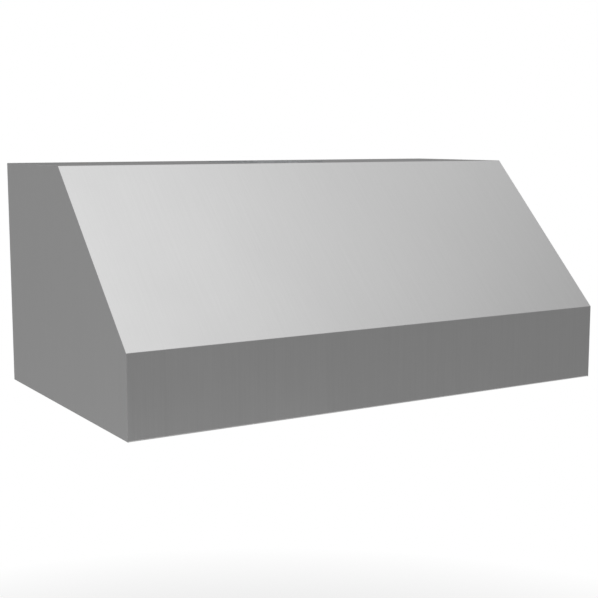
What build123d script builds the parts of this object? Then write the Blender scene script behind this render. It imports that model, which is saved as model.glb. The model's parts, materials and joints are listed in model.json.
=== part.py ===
from build123d import *
import math
import os

# A wall-mounted canopy range hood, in millimetres.
# While it is modelled, x runs along the width from the middle, y = 0 is the wall face with the
# front at negative y, and z = 0 is the bottom rim. Each piece is moved on export so that the
# origin is the middle of the wall screw pattern.

# Canopy shell
WIDTH = 1066.8
DEPTH = 609.6
HEIGHT = 457.2
TOP_DEPTH = 304.8
LIP = 152.4
SHEET = 1.2
BEND = 1.2
GROUND_CORNER = 0.8
SHELL_FLANGE = 20.0
HEM = 38.0
HEM_RETURN = 12.0
LAP = 6.0
SEAT = 0.3
CUT_PAST = 1.0

# Wall screws
WALL_SCREW_SPACING_X = 812.8
WALL_SCREW_SPACING_Z = 254.0
WALL_SCREW_LOW = 130.0
WALL_HOLE_RADIUS = 4.0

# Light panel and filter rail
LIGHT_PANEL_Z = 72.0
LIGHT_PANEL_DEPTH = 130.0
RAIL_CLEARANCE = 3.4
RAIL_LEDGE = 14.0
PANEL_FLANGE = 14.0

# Filters, each hung on two pegs near its rear edge
FILTER_COUNT = 3
FILTER_GAP = 8.0
SIDE_STRIP = 30.4
FILTER_THICK = 16.0
FILTER_TILT = 6.0
FILTER_WALL = 1.0
FILTER_CHANNEL = 14.0
FILTER_FRONT_CHANNEL = 32.0
PIVOT_Y = -110.0
PIVOT_Z = 60.0
PIVOT_RISE = 4.0
PIVOT_OVERHANG = 14.0
PEG_RADIUS = 3.0
PEG_FIT = 0.06
PEG_LENGTH = 2.9
BAFFLE_SHEET = 0.8
BAFFLE_WIDTH = 20.0
BAFFLE_PITCH = 30.0
BAFFLE_LEG = 8.5
WEEP_RADIUS = 2.5
WEEP_COUNT = 6

# Filter handles and magnets
HANDLE_WIRE = 2.2
HANDLE_WIDTH = 74.0
HANDLE_DROP = 26.0
HANDLE_BEND = 8.0
HANDLE_INSET = 16.0
HANDLE_PIVOT_DROP = 4.6
EAR_WALL = 2.0
EAR_REACH = 4.2
EAR_GAP = 1.0
PIN_BEND = 0.8
PIN_STAND = 1.0
HANDLE_FIT = 0.06
MAGNET_WIDTH = 26.0
MAGNET_THICK = 4.0
MAGNET_OFFSET = 110.0

# Filter supports
WEB_GAP = 1.0
WEB_BELOW_PIVOT = 9.0
WEB_REAR = 14.0
WEB_MARGIN = 3.0
WEB_STEP = 6.0

# Rear pan, gutter and grease cup
REAR_PAN_Z = 81.0
REAR_PAN_LIP = 12.0
REAR_PAN_FLANGE = 20.0
REAR_PAN_FRONT = 102.0
GUTTER_FRONT = 104.0
GUTTER_REAR = 36.0
GUTTER_Z = 36.0
GUTTER_WALL = 14.0
GUTTER_FLANGE = 16.0
DRAIN_RADIUS = 6.0
DRAIN_LENGTH = 2.6
CUP_LENGTH = 100.0
CUP_WIDTH = 50.0
CUP_DEPTH = 26.0
CUP_WALL = 1.5
CUP_CORNER = 8.0
CUP_RIM = 5.0
CUP_END = 24.0
CUP_DROP = 3.4
RAIL_FOOT = 4.0

# Blowers, one each side of the middle
BLOWER_Y = -165.0
BLOWER_Z = 226.0
WHEEL_RADIUS = 90.0
WHEEL_EYE = 74.0
WHEEL_WIDTH = 90.0
BLADE_COUNT = 36
BLADE_SHEET = 1.0
BLADE_LEAD = 7.0
SCROLL_START = 100.0
SCROLL_STEP = 14.0
SCROLL_RISE = 114.0
SCROLL_SHEET = 1.0
SCROLL_EDGE = 8.0
TONGUE_Y = 50.0
MOTOR_PLATE_X = 120.0
SCROLL_WIDTH = 113.0
EYE_RADIUS = 72.0
EYE_LIP = 8.0
WHEEL_OFFSET = 12.0
MOTOR_RADIUS = 48.0
MOTOR_LENGTH = 64.0
MOTOR_BELL = 12.0
MOTOR_BELL_RADIUS = 42.0
MOTOR_FLANGE_RADIUS = 60.0
MOTOR_FLANGE = 3.0
MOTOR_SCREWS = 4
SHAFT_RADIUS = 4.0
SHAFT_FIT = 0.05
SHAFT_STOP = 4.0
HUB_RADIUS = 12.0
HUB_LENGTH = 20.0
CAPACITOR_RADIUS = 15.0
CAPACITOR_LENGTH = 50.0
CAPACITOR_FOOT = 24.0

# Plenum between the blowers and the duct
PLENUM_HALF = 245.0
PLENUM_REAR = 15.0
PLENUM_FLANGE = 10.0

# Duct collar and backdraft damper
DUCT_RADIUS = 127.0
DUCT_FIT = 0.4
SOCKET_LENGTH = 40.0
COLLAR_WALL = 1.0
COLLAR_FLANGE = 10.0
COLLAR_FIT = 0.25
COLLAR_BEHIND_MIDDLE = 5.4
THROAT_STEP = 5.4
DAMPER_TUBE = 20.0
PIN_DROP = 6.0
DAMPER_PIN_RADIUS = 3.0
DAMPER_PIN_HEAD = 6.0
FLAP_RADIUS = 119.5
FLAP_SHEET = 0.8
KNUCKLE_WALL = 1.4
KNUCKLE_FIT = 0.08
KNUCKLE_LENGTH = 30.0
KNUCKLE_PITCH = 40.0
STRAP_REACH = 16.0
STOP_WIDTH = 5.5

# Lamps in the light panel
LAMP_X = 330.0
LAMP_BEZEL_RADIUS = 40.0
LAMP_BEZEL = 2.0
LAMP_LENS_RADIUS = 31.0
LAMP_LENS = 2.0
LAMP_BODY_RADIUS = 34.0
LAMP_BODY_HEIGHT = 28.0
LAMP_WALL = 1.5
LAMP_BOARD = 1.6
SPRING_WIDTH = 10.0
SPRING_SHEET = 0.5
SPRING_REACH = 8.0
SPRING_RISE = 14.0

# Controls in the light panel
KNOB_X = 42.0
KNOB_RADIUS = 17.0
KNOB_SKIRT = 20.0
KNOB_HEIGHT = 20.0
KNOB_SKIRT_HEIGHT = 3.0
KNOB_GAP = 0.5
KNOB_FACE = 4.0
KNOB_EDGE = 1.5
FLUTE_COUNT = 12
FLUTE_RADIUS = 3.0
POINTER_WIDTH = 2.4
DIAL_RADIUS = 29.0
DIAL_SHEET = 0.8
SWITCH_SHAFT_RADIUS = 3.0
SWITCH_SHAFT_FIT = 0.05
BUSHING_RADIUS = 4.8
BUSHING_HEIGHT = 6.0
SWITCH_NUT_RADIUS = 8.2
SWITCH_SIZE = 34.0
SWITCH_HEIGHT = 26.0
TAB_PITCH = 7.6
TAB_WIDTH = 4.0
TAB_HEIGHT = 7.6
TAB_SHEET = 0.8
COVER_WIDTH = 260.0
COVER_DEPTH = 76.0
COVER_HEIGHT = 52.0
COVER_FOOT = 12.0
DRIVER_LENGTH = 58.0
DRIVER_DEPTH = 40.0
DRIVER_HEIGHT = 26.0

# Junction box under the top panel
BOX_X = -400.0
BOX_Y = -84.0
BOX_SIZE = 100.0
BOX_HEIGHT = 56.0
BOX_WALL = 1.2
BOSS_RADIUS = 5.0
GLAND_RADIUS = 11.0
GLAND_BORE = 6.5
GLAND_LENGTH = 22.0
GLAND_NUT = 16.0
GLAND_NUT_HEIGHT = 5.0

# Screws and leads
SCREW_RADIUS = 2.0
SCREW_HEAD = 3.8
SCREW_HEAD_HEIGHT = 1.6
SCREW_FIT = 0.1
SCREW_LENGTH = 10.0
LEAD_RADIUS = 3.0
LEAD_BEND = 18.0
CLIP_WALL = 1.2
CLIP_WIDTH = 8.0
LEAD_Z = 86.0
LEAD_LIFT = 26.0
LEAD_ENTRY = 6.0
LEAD_FRONT = 290.0
LEAD_PITCH = 14.0
HIGH_LEAD_Z = 438.0
TERMINAL_SIZE = 20.0
TERMINAL_REACH = 15.0

# Places that follow from the sizes above
HALF = WIDTH / 2
INSIDE = HALF - SHEET
ORIGIN_Z = WALL_SCREW_LOW + WALL_SCREW_SPACING_Z / 2
RAIL_Y = -DEPTH + LIGHT_PANEL_DEPTH
PANEL_MIDDLE_Y = -DEPTH + (LIGHT_PANEL_DEPTH + HEM) / 2
FILTER_REACH = PIVOT_Y - RAIL_Y - RAIL_CLEARANCE
FILTER_SPAN = WIDTH - 2 * SIDE_STRIP
FILTER_PITCH = (FILTER_SPAN + FILTER_GAP) / FILTER_COUNT
FILTER_WIDTH = FILTER_PITCH - FILTER_GAP
FILTER_TOP = FILTER_THICK - PIVOT_RISE
TILT_SIN = math.sin(math.radians(FILTER_TILT))
TILT_COS = math.cos(math.radians(FILTER_TILT))
LEDGE_Z = PIVOT_Z + FILTER_REACH * TILT_SIN + FILTER_TOP * TILT_COS + MAGNET_THICK + SEAT
PLENUM_FLOOR = BLOWER_Z + SCROLL_RISE
PLENUM_TOP = HEIGHT - SHEET
COLLAR_Y = -TOP_DEPTH / 2 + COLLAR_BEHIND_MIDDLE
SOCKET_RADIUS = DUCT_RADIUS + DUCT_FIT
THROAT_RADIUS = SOCKET_RADIUS - THROAT_STEP
PIN_Z = HEIGHT - SOCKET_LENGTH - COLLAR_WALL - PIN_DROP
KNUCKLE_BORE = DAMPER_PIN_RADIUS + KNUCKLE_FIT
KNUCKLE_RADIUS = KNUCKLE_BORE + KNUCKLE_WALL
CUP_X = FILTER_SPAN / 2 - CUP_END - CUP_LENGTH / 2
CUP_Y = -(GUTTER_FRONT + GUTTER_REAR) / 2
CUP_TOP = GUTTER_Z - CUP_DROP
LAP_REAR = -TOP_DEPTH + SHELL_FLANGE + LAP
PLENUM_FRONT = -LAP_REAR - SEAT
SCROLL_IN = MOTOR_PLATE_X + SCROLL_SHEET
SCROLL_OUT = SCROLL_IN + SCROLL_WIDTH
WHEEL_IN = SCROLL_IN + WHEEL_OFFSET
MOTOR_REAR = MOTOR_PLATE_X - MOTOR_FLANGE - MOTOR_LENGTH - 2 * MOTOR_BELL
EAR_X = HANDLE_WIDTH / 2 + HANDLE_WIRE + EAR_GAP
HANDLE_Y = -FILTER_REACH + HANDLE_INSET
HANDLE_Z = -PIVOT_RISE - HANDLE_PIVOT_DROP
GLAND_Y = BOX_Y
BOX_TOP = HEIGHT - SHEET
BOX_BOTTOM = BOX_TOP - BOX_HEIGHT
COVER_TOP = LIGHT_PANEL_Z + SHEET + COVER_HEIGHT
KNOB_TOP = LIGHT_PANEL_Z - DIAL_SHEET - KNOB_GAP
MOTOR_X = MOTOR_PLATE_X - MOTOR_FLANGE - MOTOR_BELL - MOTOR_LENGTH / 2
TERMINAL_Y = BLOWER_Y - MOTOR_RADIUS - TERMINAL_REACH


# Basic shapes
def block(x0, x1, y0, y1, z0, z1):
    """Square-edged block between two corners."""
    middle = Pos((x0 + x1) / 2, (y0 + y1) / 2, (z0 + z1) / 2)
    return middle * Box(x1 - x0, y1 - y0, z1 - z0)


def rod_x(radius, x0, x1, y, z):
    """Round bar along x."""
    return Pos((x0 + x1) / 2, y, z) * Rot(0, 90, 0) * Cylinder(radius, abs(x1 - x0))


def rod_y(radius, y0, y1, x, z):
    """Round bar along y."""
    return Pos(x, (y0 + y1) / 2, z) * Rot(90, 0, 0) * Cylinder(radius, abs(y1 - y0))


def rod_z(radius, z0, z1, x, y):
    """Round bar along z."""
    return Pos(x, y, (z0 + z1) / 2) * Cylinder(radius, abs(z1 - z0))


def slab_x(face, x0, x1):
    """Flat face drawn in y and z, given its thickness from x0 to x1."""
    return extrude(Plane.YZ.offset(min(x0, x1)) * face, abs(x1 - x0))


def slab_z(face, z0, z1):
    """Flat face drawn in x and y, given its height from z0 to z1."""
    return extrude(Plane.XY.offset(z0) * face, z1 - z0)


def mirrored(shape):
    """The same shape on the other side of the middle plane."""
    return mirror(shape, about=Plane.YZ)


def group(shapes):
    """Separate solids kept side by side in one piece list."""
    solids = []
    for shape in shapes:
        solids.extend(shape.solids())
    return Compound(solids)


def polar(radius, degrees, centre=(0.0, 0.0)):
    """Point at a radius and an angle from a centre."""
    turn = math.radians(degrees)
    return (centre[0] + radius * math.cos(turn), centre[1] + radius * math.sin(turn))


def arc(radius, start, end, centre=(0.0, 0.0)):
    """Circular edge between two angles about a centre."""
    points = [polar(radius, angle, centre) for angle in (start, (start + end) / 2, end)]
    return Edge.make_three_point_arc(*points)


# Rounded outlines and folded sheet
def corner_arc(before, here, after, radius):
    """Start, middle and end of the arc that rounds one corner."""
    back = (before - here).normalized()
    ahead = (after - here).normalized()
    half = math.radians(back.get_angle(ahead)) / 2
    run = radius / math.tan(half)
    centre = here + (back + ahead).normalized() * (radius / math.sin(half))
    middle = centre + (here - centre).normalized() * radius
    return here + back * run, middle, here + ahead * run


def rounded_edges(corners, radii, closed):
    """Straight runs joined by tangent arcs at each corner."""
    points = [Vector(*corner) for corner in corners]
    count = len(points)
    stops = []
    for i, here in enumerate(points):
        open_end = not closed and i in (0, count - 1)
        if open_end or radii[i] == 0:
            stops.append((here, None, here))
        else:
            stops.append(corner_arc(points[i - 1], here, points[(i + 1) % count], radii[i]))
    edges = []
    for i, (start, middle, end) in enumerate(stops):
        if middle is not None:
            edges.append(Edge.make_three_point_arc(start, middle, end))
        if closed or i < count - 1:
            following = stops[(i + 1) % count][0]
            if (following - end).length > 1e-6:
                edges.append(Edge.make_line(end, following))
    return edges


def rounded_face(corners, radii):
    """Flat face with each corner rounded by its own radius."""
    return make_face(rounded_edges(corners, radii, True))


def polygon(corners):
    """Flat face with sharp corners."""
    return rounded_face(corners, [0] * len(corners))


def offset_line(points, distance):
    """The same line moved to its left, with mitred corners."""
    line = [Vector(*point) for point in points]
    steps = [(after - before).normalized() for before, after in zip(line, line[1:])]
    lefts = [Vector(-step.Y, step.X) for step in steps]
    moved = []
    for i, here in enumerate(line):
        first = lefts[max(i - 1, 0)]
        second = lefts[min(i, len(lefts) - 1)]
        shift = (first + second) * (distance / (1 + first.dot(second)))
        moved.append((here.X + shift.X, here.Y + shift.Y))
    return moved


def folded(points, thickness=SHEET, bend=BEND):
    """Section of a sheet folded along a line, with its thickness to the left of that line."""
    moved = offset_line(points, thickness)
    near = [0] * len(points)
    far = [0] * len(points)
    for i in range(1, len(points) - 1):
        before, here, after = (Vector(*points[j]) for j in (i - 1, i, i + 1))
        turns_left = (here - before).cross(after - here).Z * thickness > 0
        near[i] = bend + abs(thickness) if turns_left else bend
        far[i] = bend if turns_left else bend + abs(thickness)
    return rounded_face(points + moved[::-1], near + far[::-1])


def wire_rod(corners, radii, radius):
    """Round wire bent along a line of points."""
    path = Wire(rounded_edges(corners, radii, False))
    return sweep(Plane(origin=path @ 0, z_dir=path % 0) * Circle(radius), path=path)


# Canopy shell
def side_panel():
    """Right side plate, with flanges turned inwards along its back, top and bottom."""
    outline = [(-DEPTH, 0), (0, 0), (0, HEIGHT), (-TOP_DEPTH, HEIGHT), (-DEPTH, LIP)]
    plate = slab_x(polygon(outline), INSIDE, HALF)
    outer = plate.faces().sort_by(Axis.X)[-1]
    ground = [edge for edge in outer.edges() if edge.center().Y < -SHEET]
    plate = fillet(ground, GROUND_CORNER)
    inner = INSIDE - SHELL_FLANGE
    back = block(inner, INSIDE, -2 * SHEET, -SHEET, 0, HEIGHT - SHEET)
    top = block(inner, INSIDE, LAP_REAR + SEAT, -SHEET, HEIGHT - 2 * SHEET, HEIGHT - SHEET)
    bottom = block(inner, INSIDE, -DEPTH + HEM + SEAT, -SHEET, 0, SHEET)
    return plate + back + top + bottom


def front_panel():
    """One sheet folded into the bottom hem, the lip, the slope and a strip of the flat top."""
    line = [
        (-DEPTH + HEM, HEM_RETURN),
        (-DEPTH + HEM, 0),
        (-DEPTH, 0),
        (-DEPTH, LIP),
        (-TOP_DEPTH, HEIGHT),
        (-TOP_DEPTH + SHELL_FLANGE, HEIGHT),
    ]
    return slab_x(folded(line, -SHEET), -INSIDE, INSIDE)


def top_panel():
    """Flat top, lapped under the front panel and turned down along the wall."""
    plate = block(-INSIDE, INSIDE, -TOP_DEPTH + SHELL_FLANGE, -SHEET, PLENUM_TOP, HEIGHT)
    lap_front = -TOP_DEPTH + BEND + SHEET
    lap = block(-INSIDE, INSIDE, lap_front, LAP_REAR, PLENUM_TOP - SHEET, PLENUM_TOP)
    reach = INSIDE - SHELL_FLANGE - SEAT
    turned = block(-reach, reach, -2 * SHEET, -SHEET, HEIGHT - PANEL_FLANGE, PLENUM_TOP)
    duct_hole = rod_z(SOCKET_RADIUS + COLLAR_WALL + COLLAR_FIT, LIP, 2 * HEIGHT, 0, COLLAR_Y)
    gland_hole = rod_z(GLAND_RADIUS + SCREW_FIT, LIP, 2 * HEIGHT, BOX_X, GLAND_Y)
    return plate + lap + turned - duct_hole - gland_hole


def back_panel():
    """Plate against the wall, with four screw holes and a hem along the bottom."""
    plate = block(-INSIDE, INSIDE, -SHEET, 0, 0, HEIGHT)
    reach = INSIDE - SHELL_FLANGE - SEAT
    hem = block(-reach, reach, -SHELL_FLANGE, -SHEET, 0, SHEET)
    holes = []
    for x in (-WALL_SCREW_SPACING_X / 2, WALL_SCREW_SPACING_X / 2):
        for z in (WALL_SCREW_LOW, WALL_SCREW_LOW + WALL_SCREW_SPACING_Z):
            holes.append(rod_y(WALL_HOLE_RADIUS, -2 * SHEET, SHEET, x, z))
    return plate + hem - holes


# Underside sheets
def light_panel():
    """Front pan that carries the lamps and knobs, turned up at its rear as the filter rail."""
    front = -DEPTH + 2 * SHEET
    line = [
        (front, LIGHT_PANEL_Z - PANEL_FLANGE),
        (front, LIGHT_PANEL_Z),
        (RAIL_Y, LIGHT_PANEL_Z),
        (RAIL_Y, LEDGE_Z),
        (RAIL_Y + RAIL_LEDGE, LEDGE_Z),
    ]
    pan = slab_x(folded(line), -INSIDE + SEAT, INSIDE - SEAT)
    low = LIGHT_PANEL_Z - SHEET
    high = LIGHT_PANEL_Z + 2 * SHEET
    holes = []
    for x in (-LAMP_X, LAMP_X):
        holes.append(rod_z(LAMP_BODY_RADIUS + SCREW_FIT, low, high, x, PANEL_MIDDLE_Y))
    for x in (-KNOB_X, KNOB_X):
        holes.append(rod_z(BUSHING_RADIUS + SCREW_FIT, low, high, x, PANEL_MIDDLE_Y))
    for x, y in cover_screw_places():
        holes.append(rod_z(SCREW_RADIUS + SCREW_FIT, low, high, x, y))
    return pan - holes


def rear_pan():
    """Pan that closes the space between the filters and the wall."""
    line = [
        (-REAR_PAN_FRONT, REAR_PAN_Z + REAR_PAN_LIP),
        (-REAR_PAN_FRONT, REAR_PAN_Z),
        (-SHEET, REAR_PAN_Z),
        (-SHEET, REAR_PAN_Z + REAR_PAN_FLANGE),
    ]
    reach = INSIDE - SHELL_FLANGE - SEAT
    return slab_x(folded(line), -reach, reach)


def grease_gutter():
    """Trough under the rear edge of the filters, with closed ends and a drain over the cup."""
    line = [
        (-GUTTER_FRONT, GUTTER_Z + GUTTER_WALL),
        (-GUTTER_FRONT, GUTTER_Z),
        (-GUTTER_REAR, GUTTER_Z),
        (-GUTTER_REAR, REAR_PAN_Z - SHEET),
        (-GUTTER_REAR + GUTTER_FLANGE, REAR_PAN_Z - SHEET),
    ]
    reach = FILTER_SPAN / 2
    trough = slab_x(folded(line), -reach, reach)
    for side in (-1, 1):
        ends = sorted((side * reach, side * (reach - SHEET)))
        floor = GUTTER_Z + SHEET / 2
        rear = -GUTTER_REAR - SHEET / 2
        trough += block(*ends, -GUTTER_FRONT + SHEET / 2, rear, floor, GUTTER_Z + GUTTER_WALL)
    spout = rod_z(DRAIN_RADIUS, GUTTER_Z - DRAIN_LENGTH, GUTTER_Z + SHEET, CUP_X, CUP_Y)
    bore = rod_z(DRAIN_RADIUS - SHEET, 0, GUTTER_Z + 2 * SHEET, CUP_X, CUP_Y)
    return trough + spout - bore


def grease_cup():
    """Removable cup with a rim that slides along its two hangers, and a pull tab."""
    half_x = CUP_LENGTH / 2
    half_y = CUP_WIDTH / 2
    bottom = CUP_TOP - CUP_DEPTH
    outer = block(-half_x, half_x, -half_y, half_y, bottom, CUP_TOP)
    outer = fillet(outer.edges().filter_by(Axis.Z), CUP_CORNER)
    inner = block(
        -half_x + CUP_WALL, half_x - CUP_WALL, -half_y + CUP_WALL, half_y - CUP_WALL,
        bottom + CUP_WALL, CUP_TOP + CUP_WALL,
    )
    inner = fillet(inner.edges().filter_by(Axis.Z), CUP_CORNER - CUP_WALL)
    wide = half_y + CUP_RIM
    rim = block(-half_x, half_x, -wide, wide, CUP_TOP - SHEET, CUP_TOP)
    tab = block(-half_x - CUP_RIM * 2, -half_x, -CUP_RIM * 2, CUP_RIM * 2, CUP_TOP - SHEET, CUP_TOP)
    return Pos(CUP_X, CUP_Y, 0) * (outer + rim + tab - inner)


def cup_rails():
    """Two hangers under the gutter that hold the rim of the cup, with a stop at the far end."""
    half_x = CUP_LENGTH / 2
    inner = CUP_WIDTH / 2 + CUP_RIM + SEAT
    foot_top = CUP_TOP - SHEET - SEAT
    rails = []
    for side in (-1, 1):
        leg = sorted((side * inner, side * (inner + SHEET)))
        foot = sorted((side * (inner - RAIL_FOOT), side * (inner + SHEET)))
        rail = block(-half_x, half_x, *leg, foot_top - SHEET, GUTTER_Z)
        rail += block(-half_x, half_x, *foot, foot_top - SHEET, foot_top)
        stop = sorted((side * (inner - RAIL_FOOT), side * (inner + SHEET)))
        rail += block(half_x + SEAT, half_x + SEAT + SHEET, *stop, foot_top - SHEET, GUTTER_Z)
        rail += block(half_x - SHEET, half_x + SEAT + SHEET, *leg, foot_top - SHEET, GUTTER_Z)
        rails.append(Pos(CUP_X, CUP_Y, 0) * rail)
    return group(rails)


# Filter supports
def under_filter(y):
    """Height of the underside of a closed filter at a distance from the wall."""
    return PIVOT_Z + ((PIVOT_Y - y) * TILT_SIN - PIVOT_RISE) / TILT_COS


def peg_slot(x0, x1):
    """Slot that takes a filter peg, open towards the wall."""
    radius = PEG_RADIUS + PEG_FIT
    rear = PIVOT_Y + 2 * WEB_REAR
    slot = block(x0, x1, PIVOT_Y, rear, PIVOT_Z - radius, PIVOT_Z + radius)
    return slot + rod_x(radius, x0, x1, PIVOT_Y, PIVOT_Z)


def web_outline(front_z, tail):
    """Side view of a filter support, from the rail to behind the pegs."""
    bottom = PIVOT_Z - WEB_BELOW_PIVOT
    low = under_filter(PIVOT_Y - WEB_REAR) - WEB_MARGIN
    knee = PIVOT_Y - (front_z + WEB_MARGIN + PIVOT_RISE / TILT_COS - PIVOT_Z) * TILT_COS / TILT_SIN
    lower = [(RAIL_Y, front_z)]
    if knee > RAIL_Y + SHEET:
        lower.append((knee, front_z))
    lower += [(PIVOT_Y - WEB_REAR, low), (PIVOT_Y - WEB_REAR + WEB_STEP, bottom)]
    upper = [(PIVOT_Y - WEB_REAR, REAR_PAN_Z), (RAIL_Y, LEDGE_Z - 2 * BEND)]
    return lower + [(PIVOT_Y + WEB_REAR, bottom)] + tail + upper


def end_rail():
    """Right filter support: a web for the pegs and a strip that closes the gap to the side."""
    face = FILTER_SPAN / 2 + WEB_GAP
    rear = -2 * SHEET - SEAT
    tail = [(PIVOT_Y + WEB_REAR, LIGHT_PANEL_Z), (rear, LIGHT_PANEL_Z), (rear, REAR_PAN_Z)]
    web = slab_x(polygon(web_outline(LIGHT_PANEL_Z, tail)), face, face + SHEET)
    side = INSIDE - SEAT
    strip = block(face, side, RAIL_Y, rear, LIGHT_PANEL_Z, LIGHT_PANEL_Z + SHEET)
    leg_top = LIGHT_PANEL_Z + SHELL_FLANGE
    leg = block(side - SHEET, side, RAIL_Y, rear, LIGHT_PANEL_Z, leg_top)
    return web + strip + leg - peg_slot(face - WEB_GAP, face + 2 * SHEET)


def filter_divider(x):
    """Channel between two filters, open at the top, that takes a peg of each."""
    front_z = under_filter(RAIL_Y) - WEB_MARGIN
    outline = polygon(web_outline(front_z, [(PIVOT_Y + WEB_REAR, REAR_PAN_Z)]))
    half = FILTER_GAP / 2 - WEB_GAP
    full = slab_x(outline, -half, half)
    hollow = Pos(0, 0, SHEET) * slab_x(outline, -half + SHEET, half - SHEET)
    return Pos(x, 0, 0) * (full - hollow - peg_slot(-FILTER_GAP, FILTER_GAP))


# Filters
def filter_place(x):
    """Where a filter lies: its pegs in the slots and its front edge tilted up."""
    return Pos(x, PIVOT_Y, PIVOT_Z) * Rot(-FILTER_TILT, 0, 0)


def filter_frame(x):
    """Channel frame with two pegs, weep holes in its rear channel and two handle ears."""
    half = FILTER_WIDTH / 2
    wall = FILTER_WALL
    outer = block(-half, half, -FILTER_REACH, PIVOT_OVERHANG, -PIVOT_RISE, FILTER_TOP)
    cavity = block(
        -half + wall, half - wall, -FILTER_REACH + wall, PIVOT_OVERHANG - wall,
        -PIVOT_RISE + wall, FILTER_TOP - wall,
    )
    opening = block(
        -half + FILTER_CHANNEL, half - FILTER_CHANNEL,
        -FILTER_REACH + FILTER_FRONT_CHANNEL, PIVOT_OVERHANG - FILTER_CHANNEL,
        -FILTER_THICK, FILTER_THICK,
    )
    weep_y = PIVOT_OVERHANG - FILTER_CHANNEL / 2
    weep_pitch = (FILTER_WIDTH - 2 * FILTER_CHANNEL) / WEEP_COUNT
    weeps = []
    for i in range(WEEP_COUNT):
        weep_x = (i - (WEEP_COUNT - 1) / 2) * weep_pitch
        weeps.append(rod_z(WEEP_RADIUS, -FILTER_THICK, 0, weep_x, weep_y))
    pegs = []
    ears = []
    for side in (-1, 1):
        pegs.append(rod_x(PEG_RADIUS, side * (half - wall / 2), side * (half + PEG_LENGTH), 0, 0))
        inner, outer_x = sorted((side * EAR_X, side * (EAR_X + EAR_WALL)))
        ear = block(
            inner, outer_x, HANDLE_Y - EAR_REACH, HANDLE_Y + EAR_REACH,
            HANDLE_Z, -PIVOT_RISE + wall / 2,
        )
        ear += rod_x(EAR_REACH, inner, outer_x, HANDLE_Y, HANDLE_Z)
        ends = (inner - CUT_PAST, outer_x + CUT_PAST)
        ears.append(ear - rod_x(HANDLE_WIRE + HANDLE_FIT, *ends, HANDLE_Y, HANDLE_Z))
    return filter_place(x) * (outer - cavity - opening - weeps + pegs + ears)


def baffle(x, base, direction):
    """One long channel blade; its legs point up or down."""
    front = -FILTER_REACH + FILTER_WALL + SEAT
    rear = PIVOT_OVERHANG - FILTER_WALL - SEAT
    half = BAFFLE_WIDTH / 2
    tip = base + direction * BAFFLE_LEG
    floor = base + direction * BAFFLE_SHEET
    solid = block(x - half, x + half, front, rear, *sorted((base, tip)))
    hollow = block(
        x - half + BAFFLE_SHEET, x + half - BAFFLE_SHEET, front, rear,
        *sorted((floor, tip + direction * CUT_PAST)),
    )
    return solid - hollow


def filter_baffles(x):
    """Two layers of interleaved blades held between the channels of the frame."""
    count = int((FILTER_WIDTH - 2 * FILTER_WALL - BAFFLE_WIDTH) // BAFFLE_PITCH) + 1
    low = -PIVOT_RISE + FILTER_WALL
    high = FILTER_TOP - FILTER_WALL
    blades = []
    for i in range(count):
        blades.append(baffle((i - (count - 1) / 2) * BAFFLE_PITCH, low, 1))
    for i in range(count - 1):
        blades.append(baffle((i - (count - 2) / 2) * BAFFLE_PITCH, high, -1))
    return filter_place(x) * group(blades)


def filter_handle(x):
    """Wire bail that hangs straight down from the ears of its filter."""
    end = EAR_X + EAR_WALL + PIN_STAND
    half = HANDLE_WIDTH / 2
    corners = [
        (end, 0, 0), (half, 0, 0), (half, 0, -HANDLE_DROP),
        (-half, 0, -HANDLE_DROP), (-half, 0, 0), (-end, 0, 0),
    ]
    tight = HANDLE_WIRE + PIN_BEND
    bail = wire_rod(corners, [0, tight, HANDLE_BEND, HANDLE_BEND, tight, 0], HANDLE_WIRE)
    return filter_place(x) * Pos(0, HANDLE_Y, HANDLE_Z) * Rot(FILTER_TILT, 0, 0) * bail


def filter_magnets():
    """Catch magnets under the ledge of the rail, two over the front edge of each filter."""
    front = RAIL_Y + 2 * BEND
    rear = RAIL_Y + RAIL_LEDGE - SEAT
    pads = []
    for x in filter_places():
        for offset in (-MAGNET_OFFSET, MAGNET_OFFSET):
            middle = x + offset
            half = MAGNET_WIDTH / 2
            pads.append(block(middle - half, middle + half, front, rear, LEDGE_Z - MAGNET_THICK, LEDGE_Z))
    return group(pads)


def filter_places():
    """Middle of each filter along the width."""
    return [(i - (FILTER_COUNT - 1) / 2) * FILTER_PITCH for i in range(FILTER_COUNT)]


# Blowers
def scroll_outline(offset, rise):
    """Side view of the spiral housing about the wheel centre, with a straight throat upwards."""
    start = SCROLL_START + offset
    throat = TONGUE_Y - offset
    tongue = math.degrees(math.acos(throat / start))
    rear = SCROLL_START + 3 * SCROLL_STEP + offset
    edges = [
        arc(start, tongue, 180),
        arc(start + SCROLL_STEP, 180, 270, (SCROLL_STEP, 0)),
        arc(start + 2 * SCROLL_STEP, 270, 360, (SCROLL_STEP, SCROLL_STEP)),
        Edge.make_line((rear, SCROLL_STEP), (rear, rise)),
        Edge.make_line((rear, rise), (throat, rise)),
        Edge.make_line((throat, rise), polar(start, tongue)),
    ]
    return make_face(edges)


def at_blower(shape):
    """Shape moved from the middle of the part to the wheel centre."""
    return Pos(0, BLOWER_Y, BLOWER_Z) * shape


def scroll():
    """Wrap of the right blower housing, open at the top of its throat."""
    outer = slab_x(scroll_outline(SCROLL_SHEET, SCROLL_RISE), SCROLL_IN, SCROLL_OUT)
    inner = slab_x(scroll_outline(0, SCROLL_RISE + SCROLL_EDGE), SCROLL_IN, SCROLL_OUT)
    return at_blower(outer - inner)


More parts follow.
